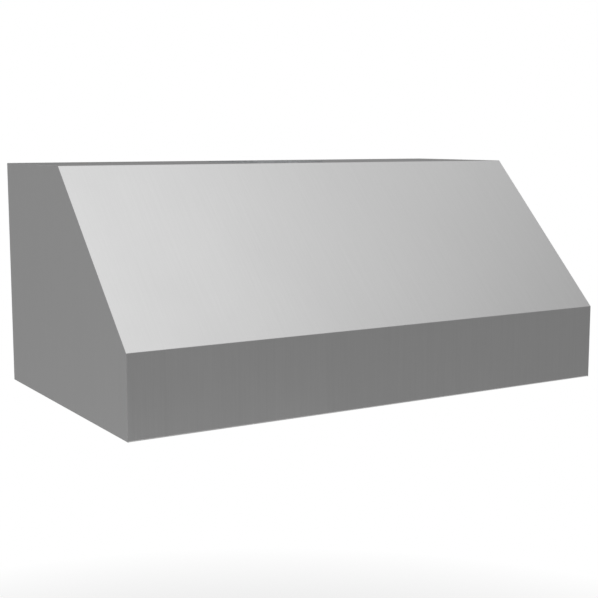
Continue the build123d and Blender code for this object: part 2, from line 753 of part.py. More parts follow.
def inlet_plate():
    """Outer side of the housing, with its eye drawn in as a bellmouth."""
    outline = scroll_outline(SCROLL_EDGE, SCROLL_RISE)
    outer = SCROLL_OUT + SCROLL_SHEET
    lip = EYE_RADIUS + EYE_LIP
    plate = slab_x(outline, SCROLL_OUT, outer) - rod_x(lip, SCROLL_IN, outer + SHEET, 0, 0)
    centre = (outer - EYE_LIP, lip)
    section = make_face([
        arc(EYE_LIP, -90, 0, centre),
        Edge.make_line((outer, lip), (SCROLL_OUT, lip)),
        arc(EYE_LIP - SCROLL_SHEET, 0, -90, centre),
        Edge.make_line((centre[0], EYE_RADIUS + SCROLL_SHEET), (centre[0], EYE_RADIUS)),
    ])
    return at_blower(plate + revolve(section, Axis.X))


def motor_screw_places():
    """Places of the motor screws about the wheel centre."""
    circle = (MOTOR_RADIUS + MOTOR_FLANGE_RADIUS) / 2
    return [polar(circle, 360 / MOTOR_SCREWS * (i + 0.5)) for i in range(MOTOR_SCREWS)]


def motor_screw_holes():
    """Holes for the motor screws through the plate and the flange."""
    radius = SCREW_RADIUS + SCREW_FIT
    low = MOTOR_PLATE_X - 2 * MOTOR_FLANGE
    high = SCROLL_IN + SHEET
    return [rod_x(radius, low, high, y, z) for y, z in motor_screw_places()]


def motor_plate():
    """Inner side of the housing, which carries the motor."""
    outline = scroll_outline(SCROLL_EDGE, SCROLL_RISE)
    plate = slab_x(outline, MOTOR_PLATE_X, SCROLL_IN)
    shaft_hole = rod_x(HUB_RADIUS, 0, HALF, 0, 0)
    return at_blower(plate - shaft_hole - motor_screw_holes())


def motor():
    """Motor with a mounting flange, two end bells and a bore for its shaft."""
    front = MOTOR_PLATE_X - MOTOR_FLANGE
    flange = rod_x(MOTOR_FLANGE_RADIUS, front, MOTOR_PLATE_X, 0, 0)
    bells = rod_x(MOTOR_BELL_RADIUS, MOTOR_REAR, front, 0, 0)
    case = rod_x(MOTOR_RADIUS, MOTOR_REAR + MOTOR_BELL, front - MOTOR_BELL, 0, 0)
    case = chamfer(case.edges().filter_by(GeomType.CIRCLE), MOTOR_FLANGE)
    bore = rod_x(SHAFT_RADIUS + SHAFT_FIT, MOTOR_REAR + SHAFT_STOP, HALF, 0, 0)
    return at_blower(flange + bells + case - bore - motor_screw_holes())


def motor_shaft():
    """Shaft that runs in the motor bore and carries the wheel."""
    end = WHEEL_IN + HUB_LENGTH + 2 * SHEET
    return at_blower(rod_x(SHAFT_RADIUS, MOTOR_REAR + SHAFT_STOP + SEAT, end, 0, 0))


def blade():
    """One forward-curved blade between the eye and the rim of the wheel."""
    middle = (WHEEL_EYE + WHEEL_RADIUS) / 2
    rim = WHEEL_RADIUS - SCROLL_SHEET / 2
    lean = BLADE_LEAD / 4
    turns = [math.degrees(BLADE_SHEET / radius) for radius in (WHEEL_EYE, middle, rim)]
    front = [polar(WHEEL_EYE, 0), polar(middle, lean), polar(rim, BLADE_LEAD)]
    back = [polar(WHEEL_EYE, turns[0]), polar(middle, lean + turns[1]), polar(rim, BLADE_LEAD + turns[2])]
    face = make_face([
        Edge.make_three_point_arc(*front),
        Edge.make_line(front[2], back[2]),
        Edge.make_three_point_arc(*back[::-1]),
        Edge.make_line(back[0], front[0]),
    ])
    return slab_x(face, WHEEL_IN + SHEET / 2, WHEEL_IN + WHEEL_WIDTH - SHEET / 2)


def impeller():
    """Squirrel-cage wheel: back disc with a hub, a front ring and the blades between them."""
    wheel = rod_x(WHEEL_RADIUS, WHEEL_IN, WHEEL_IN + SHEET, 0, 0)
    wheel += rod_x(HUB_RADIUS, WHEEL_IN, WHEEL_IN + HUB_LENGTH, 0, 0)
    rim = WHEEL_IN + WHEEL_WIDTH
    ring = rod_x(WHEEL_RADIUS, rim - SHEET, rim, 0, 0)
    ring -= rod_x(WHEEL_EYE + SHEET, rim - 2 * SHEET, rim + SHEET, 0, 0)
    one = blade()
    blades = [Rot(360 / BLADE_COUNT * i, 0, 0) * one for i in range(BLADE_COUNT)]
    wheel = wheel + ring + blades
    return at_blower(wheel - rod_x(SHAFT_RADIUS + SHAFT_FIT, 0, HALF, 0, 0))


def capacitor():
    """Run capacitor with its moulded foot, hung under the plenum floor beside a motor plate."""
    end = MOTOR_PLATE_X - SCREW_HEAD
    start = end - CAPACITOR_LENGTH
    z = PLENUM_FLOOR - CAPACITOR_RADIUS - SHEET
    y = BLOWER_Y - MOTOR_FLANGE_RADIUS - CAPACITOR_RADIUS
    can = rod_x(CAPACITOR_RADIUS, start, end, y, z)
    can = fillet(can.edges().filter_by(GeomType.CIRCLE), SHEET)
    half = CAPACITOR_FOOT / 2
    foot = block(start + half, end - half, y - half, y + half, z, PLENUM_FLOOR)
    return can + foot


# Plenum and damper
def plenum():
    """Open-topped box that joins the two blower throats to the duct."""
    wall = SCROLL_SHEET
    outer = block(-PLENUM_HALF, PLENUM_HALF, -PLENUM_FRONT, -PLENUM_REAR, PLENUM_FLOOR, PLENUM_TOP)
    inner = block(
        -PLENUM_HALF + wall, PLENUM_HALF - wall, -PLENUM_FRONT + wall, -PLENUM_REAR - wall,
        PLENUM_FLOOR + wall, HEIGHT,
    )
    box = outer - inner
    for side in (-1, 1):
        throat = sorted((side * SCROLL_IN, side * SCROLL_OUT))
        rear = BLOWER_Y + SCROLL_START + 3 * SCROLL_STEP
        box -= block(*throat, BLOWER_Y + TONGUE_Y, rear, PLENUM_FLOOR - wall, PLENUM_FLOOR + 2 * wall)
        ends = sorted((side * (PLENUM_HALF - wall), side * (PLENUM_HALF + PLENUM_FLANGE)))
        box += block(*ends, -PLENUM_FRONT, -PLENUM_REAR, PLENUM_TOP - wall, PLENUM_TOP)
    reach = PLENUM_HALF + PLENUM_FLANGE
    rear = -PLENUM_REAR + PLENUM_FLANGE
    return box + block(-reach, reach, -PLENUM_REAR - wall, rear, PLENUM_TOP - wall, PLENUM_TOP)


def ring_z(inner, outer, z0, z1):
    """Upright ring about the duct axis."""
    hole = rod_z(inner, z0 - COLLAR_WALL, z1 + COLLAR_WALL, 0, COLLAR_Y)
    return rod_z(outer, z0, z1, 0, COLLAR_Y) - hole


def duct_collar():
    """Socket for the duct, with the damper tube and its stop ring below."""
    wall = COLLAR_WALL
    ledge = HEIGHT - SOCKET_LENGTH
    outer = SOCKET_RADIUS + wall
    flange = ring_z(SOCKET_RADIUS, outer + COLLAR_FLANGE, PLENUM_TOP - wall, PLENUM_TOP)
    front = -PLENUM_FRONT + SCROLL_SHEET + SEAT
    rear = -PLENUM_REAR - SCROLL_SHEET - SEAT
    flange &= block(-HALF, HALF, front, rear, 0, 2 * HEIGHT)
    collar = ring_z(SOCKET_RADIUS, outer, ledge - wall, HEIGHT) + flange
    collar += ring_z(THROAT_RADIUS, outer, ledge - wall, ledge)
    collar += ring_z(THROAT_RADIUS, THROAT_RADIUS + wall, ledge - wall - DAMPER_TUBE, ledge)
    stop_top = PIN_Z - FLAP_SHEET / 2 - SEAT
    collar += ring_z(THROAT_RADIUS - STOP_WIDTH, THROAT_RADIUS + wall / 2, stop_top - wall, stop_top)
    return collar - rod_y(KNUCKLE_BORE, COLLAR_Y - 2 * outer, COLLAR_Y + 2 * outer, 0, PIN_Z)


def damper_pin():
    """Pin across the damper tube, with a push nut at each end."""
    seat = THROAT_RADIUS + COLLAR_WALL + SEAT
    end = seat + COLLAR_WALL
    pin = rod_y(DAMPER_PIN_RADIUS, COLLAR_Y - end, COLLAR_Y + end, 0, PIN_Z)
    for side in (-1, 1):
        pin += rod_y(DAMPER_PIN_HEAD, COLLAR_Y + side * seat, COLLAR_Y + side * end, 0, PIN_Z)
    return pin


def damper_flap(steps):
    """Right half of the damper: a leaf on hinge straps rolled round the pin at the given steps."""
    low = PIN_Z - FLAP_SHEET / 2
    leaf = rod_z(FLAP_RADIUS, low, low + FLAP_SHEET, 0, COLLAR_Y)
    leaf &= block(KNUCKLE_RADIUS + SEAT, HALF, -DEPTH, DEPTH, 0, HEIGHT)
    straps = []
    for step in steps:
        front = COLLAR_Y + step * KNUCKLE_PITCH - KNUCKLE_LENGTH / 2
        rear = front + KNUCKLE_LENGTH
        strap = block(0, STRAP_REACH, front, rear, low - FLAP_SHEET, low)
        strap += rod_y(KNUCKLE_RADIUS, front, rear, 0, PIN_Z)
        straps.append(strap - rod_y(KNUCKLE_BORE, -DEPTH, DEPTH, 0, PIN_Z))
    return group([leaf, *straps])


# Lamps
def slab_y(face, y0, y1):
    """Flat face drawn in x and z, given its thickness from y0 to y1."""
    return extrude(Plane.XZ.offset(-y1) * face, y1 - y0)


def at_lamps(shape):
    """The shape at both lamps."""
    return group([Pos(x, PANEL_MIDDLE_Y, 0) * shape for x in (-LAMP_X, LAMP_X)])


def lamp_bezel():
    """Trim ring under the light panel."""
    low = LIGHT_PANEL_Z - LAMP_BEZEL
    ring = rod_z(LAMP_BEZEL_RADIUS, low, LIGHT_PANEL_Z, 0, 0)
    rim = ring.faces().sort_by(Axis.Z)[0].edges()
    ring = chamfer(rim, LAMP_BEZEL / 2)
    return ring - rod_z(LAMP_LENS_RADIUS, 0, HEIGHT, 0, 0)


def lamp_lens():
    """Frosted disc that rests on the bezel inside the housing."""
    radius = LAMP_BODY_RADIUS - LAMP_WALL - SCREW_FIT
    return rod_z(radius, LIGHT_PANEL_Z, LIGHT_PANEL_Z + LAMP_LENS, 0, 0)


def lamp_housing(toward_middle):
    """Cup through the panel, with a lead entry on the side towards the controls."""
    top = LIGHT_PANEL_Z + LAMP_BODY_HEIGHT
    cup = rod_z(LAMP_BODY_RADIUS, LIGHT_PANEL_Z, top, 0, 0)
    edge = toward_middle * (LAMP_BODY_RADIUS + LEAD_ENTRY)
    x0, x1 = sorted((edge, toward_middle * (LAMP_BODY_RADIUS - LEAD_ENTRY)))
    half = 2 * LEAD_RADIUS
    cup += block(x0, x1, -half, half, LEAD_Z - half, LEAD_Z + half)
    inside = LAMP_BODY_RADIUS - LAMP_WALL
    return cup - rod_z(inside, 0, top - LAMP_WALL, 0, 0)


def led_board():
    """Board with its light source, under the top of the housing."""
    top = LIGHT_PANEL_Z + LAMP_BODY_HEIGHT - LAMP_WALL
    radius = LAMP_BODY_RADIUS - LAMP_WALL - SEAT
    board = rod_z(radius, top - LAMP_BOARD, top, 0, 0)
    return board + rod_z(radius / 3, top - 2 * LAMP_BOARD, top, 0, 0)


def lamp_springs():
    """Two leaf springs a lamp, from the housing down to the panel."""
    low = LIGHT_PANEL_Z + SHEET
    high = low + SPRING_RISE
    springs = []
    for side in (-1, 1):
        near = side * LAMP_BODY_RADIUS
        far = side * (LAMP_BODY_RADIUS + SPRING_REACH)
        step = side * 2 * SPRING_SHEET
        outline = polygon([(near, high), (near, high - 2 * SPRING_SHEET), (far - step, low), (far, low)])
        springs.append(slab_x(outline, -SPRING_WIDTH / 2, SPRING_WIDTH / 2))
    return group(springs)


# Controls
def switch_body(x, tabs):
    """Switch above the panel, with a threaded bushing, its nut and flat terminals."""
    low = LIGHT_PANEL_Z + SHEET
    half = SWITCH_SIZE / 2
    nut_top = LIGHT_PANEL_Z - DIAL_SHEET
    body = block(-half, half, -half, half, low, low + SWITCH_HEIGHT)
    body = chamfer(body.edges().filter_by(Axis.Z), SHEET)
    body += rod_z(BUSHING_RADIUS, nut_top - BUSHING_HEIGHT / 2, low + SHEET, 0, 0)
    body += rod_z(SWITCH_NUT_RADIUS, nut_top - BUSHING_HEIGHT / 3, nut_top, 0, 0)
    top = low + SWITCH_HEIGHT
    thick = TAB_SHEET / 2
    for i in range(tabs):
        tab_x = (i - (tabs - 1) / 2) * TAB_PITCH
        ends = (tab_x - TAB_WIDTH / 2, tab_x + TAB_WIDTH / 2)
        body += block(*ends, -thick, thick, top - SHEET, top + TAB_HEIGHT)
    bore = rod_z(SWITCH_SHAFT_RADIUS + SWITCH_SHAFT_FIT, 0, low + SWITCH_HEIGHT / 3, 0, 0)
    return Pos(x, PANEL_MIDDLE_Y, 0) * (body - bore)


def switch_shaft(x):
    """Shaft that turns in the bushing and carries the knob."""
    top = LIGHT_PANEL_Z + SHEET + SWITCH_HEIGHT / 3 - SEAT
    low = KNOB_TOP - KNOB_HEIGHT + KNOB_FACE + SEAT
    return rod_z(SWITCH_SHAFT_RADIUS, low, top, x, PANEL_MIDDLE_Y)


def knob(x):
    """Knob with a skirt, grip flutes, a pointer ridge and a recess over the switch nut."""
    bottom = KNOB_TOP - KNOB_HEIGHT
    body = rod_z(KNOB_RADIUS, bottom, KNOB_TOP, 0, 0)
    body = fillet(body.faces().sort_by(Axis.Z)[0].edges(), KNOB_EDGE)
    skirt_low = KNOB_TOP - KNOB_SKIRT_HEIGHT
    flutes = []
    for i in range(FLUTE_COUNT):
        flute_x, flute_y = polar(KNOB_RADIUS + FLUTE_RADIUS / 2, 360 / FLUTE_COUNT * (i + 0.5))
        flutes.append(rod_z(FLUTE_RADIUS, 0, skirt_low, flute_x, flute_y))
    body = body - flutes + rod_z(KNOB_SKIRT, skirt_low, KNOB_TOP, 0, 0)
    tip = -KNOB_RADIUS + KNOB_EDGE
    body += block(-POINTER_WIDTH / 2, POINTER_WIDTH / 2, tip, 0, bottom - DIAL_SHEET, bottom + SHEET)
    bore = rod_z(SWITCH_SHAFT_RADIUS + SWITCH_SHAFT_FIT, bottom + KNOB_FACE, HEIGHT, 0, 0)
    recess = rod_z(BUSHING_RADIUS * 2, KNOB_TOP - BUSHING_HEIGHT, HEIGHT, 0, 0)
    return Pos(x, PANEL_MIDDLE_Y, 0) * (body - bore - recess)


def dial_rings():
    """Thin scale plates between the panel and the switch nuts."""
    rings = []
    for x in (-KNOB_X, KNOB_X):
        low = LIGHT_PANEL_Z - DIAL_SHEET
        ring = rod_z(DIAL_RADIUS, low, LIGHT_PANEL_Z, x, PANEL_MIDDLE_Y)
        rings.append(ring - rod_z(BUSHING_RADIUS + SCREW_FIT, 0, HEIGHT, x, PANEL_MIDDLE_Y))
    return group(rings)


def cover_screw_places():
    """Places of the control cover's screws along x and y."""
    x = (COVER_WIDTH + COVER_FOOT) / 2
    y = COVER_DEPTH / 2 - COVER_FOOT
    return [(a * x, PANEL_MIDDLE_Y + b * y) for a in (-1, 1) for b in (-1, 1)]


def control_cover():
    """Cover over the switches and the lamp driver, with a screw foot at each end."""
    half_x = COVER_WIDTH / 2
    half_y = COVER_DEPTH / 2
    low = LIGHT_PANEL_Z + SHEET
    outer = block(-half_x, half_x, -half_y, half_y, low, COVER_TOP)
    ground = outer.edges().filter_by(Axis.Z) + outer.faces().sort_by(Axis.Z)[-1].edges()
    outer = fillet(ground, BEND + SHEET)
    inner = block(
        -half_x + SHEET, half_x - SHEET, -half_y + SHEET, half_y - SHEET, 0, COVER_TOP - SHEET,
    )
    inner = fillet(inner.edges().filter_by(Axis.Z), BEND)
    foot = half_x + COVER_FOOT
    feet = block(-foot, foot, -half_y, half_y, low, low + SHEET)
    cover = Pos(0, PANEL_MIDDLE_Y, 0) * (outer + feet - inner)
    radius = SCREW_RADIUS + SCREW_FIT
    return cover - [rod_z(radius, 0, COVER_TOP, x, y) for x, y in cover_screw_places()]


def led_driver():
    """Power supply of the lamps, on the panel under the control cover."""
    x0 = KNOB_X + SWITCH_SIZE / 2 + COVER_FOOT / 2
    y0 = PANEL_MIDDLE_Y - DRIVER_DEPTH / 2
    low = LIGHT_PANEL_Z + SHEET
    case = block(x0, x0 + DRIVER_LENGTH, y0, y0 + DRIVER_DEPTH, low, low + DRIVER_HEIGHT)
    return fillet(case.edges().filter_by(Axis.Z), BEND)


# Junction box
def box_boss_places():
    """Places of the two screw bosses inside the junction box."""
    reach = BOX_SIZE / 2 - BOX_WALL - BOSS_RADIUS + SEAT
    return [(BOX_X - reach, BOX_Y - reach), (BOX_X + reach, BOX_Y + reach)]


def junction_box():
    """Box under the top panel, open at the bottom, with screw bosses and lead holes."""
    half = BOX_SIZE / 2
    wall = BOX_WALL
    box = block(BOX_X - half, BOX_X + half, BOX_Y - half, BOX_Y + half, BOX_BOTTOM, BOX_TOP)
    box -= block(
        BOX_X - half + wall, BOX_X + half - wall, BOX_Y - half + wall, BOX_Y + half - wall,
        BOX_BOTTOM - wall, BOX_TOP - wall,
    )
    for x, y in box_boss_places():
        box += rod_z(BOSS_RADIUS, BOX_BOTTOM, BOX_TOP - wall / 2, x, y)
        box -= rod_z(SCREW_RADIUS + SCREW_FIT, BOX_BOTTOM - CUT_PAST, BOX_BOTTOM + SCREW_LENGTH, x, y)
    return box - rod_z(GLAND_RADIUS + SCREW_FIT, BOX_BOTTOM + BOX_HEIGHT / 2, HEIGHT, BOX_X, GLAND_Y)


def junction_cover():
    """Plate screwed under the junction box."""
    half = BOX_SIZE / 2
    low = BOX_BOTTOM - BOX_WALL
    plate = block(BOX_X - half, BOX_X + half, BOX_Y - half, BOX_Y + half, low, BOX_BOTTOM)
    plate = fillet(plate.edges().filter_by(Axis.Z), BEND)
    radius = SCREW_RADIUS + SCREW_FIT
    return plate - [rod_z(radius, 0, HEIGHT, x, y) for x, y in box_boss_places()]


def cable_gland():
    """Threaded sleeve flush with the top, and its locknut inside the box."""
    sleeve = rod_z(GLAND_RADIUS, HEIGHT - GLAND_LENGTH, HEIGHT, BOX_X, GLAND_Y)
    sleeve -= rod_z(GLAND_BORE, 0, 2 * HEIGHT, BOX_X, GLAND_Y)
    top = BOX_TOP - BOX_WALL
    hexagon = Pos(BOX_X, GLAND_Y) * RegularPolygon(GLAND_NUT, 6)
    nut = slab_z(hexagon, top - GLAND_NUT_HEIGHT, top)
    nut -= rod_z(GLAND_RADIUS + SHAFT_FIT, 0, HEIGHT, BOX_X, GLAND_Y)
    return group([sleeve, nut])


# Screws and leads
def screws():
    """Cover, box and motor screws."""
    solids = []
    head_low = LIGHT_PANEL_Z + 2 * SHEET
    for x, y in cover_screw_places():
        screw = rod_z(SCREW_RADIUS, LIGHT_PANEL_Z, head_low + SHEET / 2, x, y)
        solids.append(screw + rod_z(SCREW_HEAD, head_low, head_low + SCREW_HEAD_HEIGHT, x, y))
    seat = BOX_BOTTOM - BOX_WALL
    for x, y in box_boss_places():
        screw = rod_z(SCREW_RADIUS, seat - SHEET / 2, BOX_BOTTOM + SCREW_LENGTH - SEAT, x, y)
        solids.append(screw + rod_z(SCREW_HEAD, seat - SCREW_HEAD_HEIGHT, seat, x, y))
    face = MOTOR_PLATE_X - MOTOR_FLANGE
    for y, z in motor_screw_places():
        screw = rod_x(SCREW_RADIUS, face - SHEET / 2, SCROLL_IN, y, z)
        screw += rod_x(SCREW_HEAD, face - SCREW_HEAD_HEIGHT, face, y, z)
        screw = at_blower(screw)
        solids += [screw, mirrored(screw)]
    return group(solids)


def terminal_block():
    """Terminal block on the front of a motor, where its lead ends."""
    half = TERMINAL_SIZE / 2
    rear = -MOTOR_RADIUS + TERMINAL_SIZE / 2
    return at_blower(block(MOTOR_X - half, MOTOR_X + half, TERMINAL_Y - BLOWER_Y, rear, -half, half))


def internal_leads():
    """Leads held inside the canopy, from the junction box to the motors, controls and lamps."""
    box_front = BOX_Y - BOX_SIZE / 2
    slope_z = PANEL_MIDDLE_Y + HIGH_LEAD_Z + LEAD_FRONT
    cover_end = -COVER_WIDTH / 2
    wide = 2 * LEAD_BEND
    leads = [
        wire_rod([
            (BOX_X, box_front, HIGH_LEAD_Z),
            (BOX_X, -LEAD_FRONT, HIGH_LEAD_Z),
            (BOX_X, PANEL_MIDDLE_Y, slope_z),
            (BOX_X, PANEL_MIDDLE_Y, LEAD_Z + LEAD_LIFT),
            (cover_end, PANEL_MIDDLE_Y, LEAD_Z + LEAD_LIFT),
        ], [0, wide, wide, LEAD_BEND, 0], LEAD_RADIUS),
    ]
    for step, motor_x in ((1, -MOTOR_X), (2, MOTOR_X)):
        x = BOX_X + step * LEAD_PITCH
        y = -LEAD_FRONT - step * LEAD_PITCH
        z = HIGH_LEAD_Z - step * LEAD_PITCH
        leads.append(wire_rod([
            (x, box_front, z), (x, y, z), (motor_x, y, z),
            (motor_x, y, BLOWER_Z), (motor_x, TERMINAL_Y, BLOWER_Z),
        ], [0, wide, wide, wide, 0], LEAD_RADIUS))
    lamp_end = LAMP_X - LAMP_BODY_RADIUS - LEAD_ENTRY
    clip_x = (lamp_end + COVER_WIDTH / 2) / 2
    for side in (-1, 1):
        ends = (side * COVER_WIDTH / 2, side * lamp_end)
        leads.append(rod_x(LEAD_RADIUS, *ends, PANEL_MIDDLE_Y, LEAD_Z))
        outer = LEAD_RADIUS + SEAT + CLIP_WALL
        clip = rod_x(outer, -CLIP_WIDTH / 2, CLIP_WIDTH / 2, 0, LEAD_Z)
        low = LIGHT_PANEL_Z + SHEET
        clip += block(-CLIP_WIDTH / 2, CLIP_WIDTH / 2, -outer, outer, low, LEAD_Z)
        clip -= rod_x(LEAD_RADIUS + SEAT, -CLIP_WIDTH, CLIP_WIDTH, 0, LEAD_Z)
        leads.append(Pos(side * clip_x, PANEL_MIDDLE_Y, 0) * clip)
    return group(leads)


# Every piece by name
def pieces():
    """Each named piece of the hood, where it lies at rest."""
    parts = {
        "right_side_panel": side_panel(),
        "front_panel": front_panel(),
        "top_panel": top_panel(),
        "back_panel": back_panel(),
        "light_panel": light_panel(),
        "rear_pan": rear_pan(),
        "grease_gutter": grease_gutter(),
        "grease_cup": grease_cup(),
        "cup_rails": cup_rails(),
        "right_end_rail": end_rail(),
        "filter_magnets": filter_magnets(),
        "right_scroll": scroll(),
        "right_inlet_plate": inlet_plate(),
        "right_motor_plate": motor_plate(),
        "right_motor": motor() + terminal_block(),
        "right_motor_shaft": motor_shaft(),
        "right_impeller": impeller(),
        "capacitors": group([capacitor(), mirrored(capacitor())]),
        "plenum": plenum(),
        "duct_collar": duct_collar(),
        "damper_pin": damper_pin(),
        "right_flap": damper_flap((-1, 1)),
        "left_flap": mirrored(damper_flap((-2, 0, 2))),
        "lamp_bezels": at_lamps(lamp_bezel()),
        "lamp_lenses": at_lamps(lamp_lens()),
        "lamp_springs": at_lamps(lamp_springs()),
        "led_boards": at_lamps(led_board()),
        "fan_switch": switch_body(-KNOB_X, 4),
        "light_dimmer": switch_body(KNOB_X, 3),
        "fan_knob": knob(-KNOB_X),
        "light_knob": knob(KNOB_X),
        "fan_shaft": switch_shaft(-KNOB_X),
        "dimmer_shaft": switch_shaft(KNOB_X),
        "dial_rings": dial_rings(),
        "control_cover": control_cover(),
        "led_driver": led_driver(),
        "junction_box": junction_box(),
        "junction_cover": junction_cover(),
        "cable_gland": cable_gland(),
        "screws": screws(),
        "internal_leads": internal_leads(),
    }
    for name in [key for key in parts if key.startswith("right_") and key != "right_flap"]:
        parts[name.replace("right_", "left_")] = mirrored(parts[name])
    housings = []
    for x in (-LAMP_X, LAMP_X):
        housings.append(Pos(x, PANEL_MIDDLE_Y, 0) * lamp_housing(-x / LAMP_X))
    parts["lamp_housings"] = group(housings)
    middles = filter_places()
    names = ("left", "middle", "right") if FILTER_COUNT == 3 else range(1, FILTER_COUNT + 1)
    for name, x in zip(names, middles):
        parts[f"{name}_filter_frame"] = filter_frame(x)
        parts[f"{name}_filter_baffles"] = filter_baffles(x)
        parts[f"{name}_filter_handle"] = filter_handle(x)
    between = [(a + b) / 2 for a, b in zip(middles, middles[1:])]
    parts["filter_dividers"] = group([filter_divider(x) for x in between])
    return parts


os.makedirs("parts", exist_ok=True)
for piece_name, piece in pieces().items():
    export_step(Pos(0, 0, -ORIGIN_Z) * piece, f"parts/{piece_name}.step")
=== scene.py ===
"""Looks of a wall canopy range hood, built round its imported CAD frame.

Every length is in metres in the frame of the CAD model: X along the width, the wall at Y 0 with
the front at negative Y, and Z up from the middle of the wall screw pattern.
"""

from __future__ import annotations

import json
import logging
import math
from dataclasses import dataclass, field
from enum import Enum
from typing import Callable, Sequence

import bmesh
import bpy
from mathutils import Matrix, Vector

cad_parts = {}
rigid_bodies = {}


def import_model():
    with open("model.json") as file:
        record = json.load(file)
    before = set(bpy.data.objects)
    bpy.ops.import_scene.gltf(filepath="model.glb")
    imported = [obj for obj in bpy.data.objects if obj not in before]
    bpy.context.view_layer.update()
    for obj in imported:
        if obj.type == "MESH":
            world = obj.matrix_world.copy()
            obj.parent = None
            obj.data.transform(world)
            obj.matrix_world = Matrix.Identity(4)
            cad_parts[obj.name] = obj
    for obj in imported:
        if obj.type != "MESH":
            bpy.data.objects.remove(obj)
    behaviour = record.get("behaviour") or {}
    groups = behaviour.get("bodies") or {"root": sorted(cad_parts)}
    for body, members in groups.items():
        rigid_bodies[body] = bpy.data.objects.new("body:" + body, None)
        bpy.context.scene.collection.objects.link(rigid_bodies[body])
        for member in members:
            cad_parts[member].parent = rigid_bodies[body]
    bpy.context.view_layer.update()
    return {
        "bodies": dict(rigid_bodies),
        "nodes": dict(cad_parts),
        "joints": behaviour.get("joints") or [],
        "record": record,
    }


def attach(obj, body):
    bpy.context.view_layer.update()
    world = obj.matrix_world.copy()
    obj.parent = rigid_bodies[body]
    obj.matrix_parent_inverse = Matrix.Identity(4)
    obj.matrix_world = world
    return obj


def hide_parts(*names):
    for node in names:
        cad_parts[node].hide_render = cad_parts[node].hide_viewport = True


LOG = logging.getLogger("range_hood")

# Heights are written up from the canopy's rim. Lamps and knobs share one line on the light panel.
RIM_Z = -0.257
PANEL_Z = 0.072 + RIM_Z
PANEL_MIDDLE_Y = -0.5256
INK = 0.00008

# Flats round a turned piece, where most of a soft noise lies, and how close counts as touching.
# In a finish, cells are counted per metre, a shift is in cells, and a relief is its depth in metres
# and the share of it that shows.
ROUND_STEPS = 128
NOISE_SPAN = (0.3, 0.7)
TOUCH = 1e-7
NEAR = 1e-6

Socket = bpy.types.NodeSocket
Material = bpy.types.Material
Piece = bpy.types.Object
Shape = bmesh.types.BMesh
Edge = bmesh.types.BMEdge
Colour = tuple[float, float, float]
Triple = tuple[float, float, float]


class Grain(Enum):
    """The way a surface was brushed: the axes that its scratches follow, the axis that the gloss
    turns about, and whether that gloss is turned a quarter."""

    ACROSS = ("X", "X", 0.0)
    UPRIGHT = ("YZ", "X", 0.25)
    SIDE_UPRIGHT = ("Z", "Z", 0.0)
    FRONT_TO_BACK = ("Y", "Y", 0.0)
    ROUND = ("", "Z", 0.25)


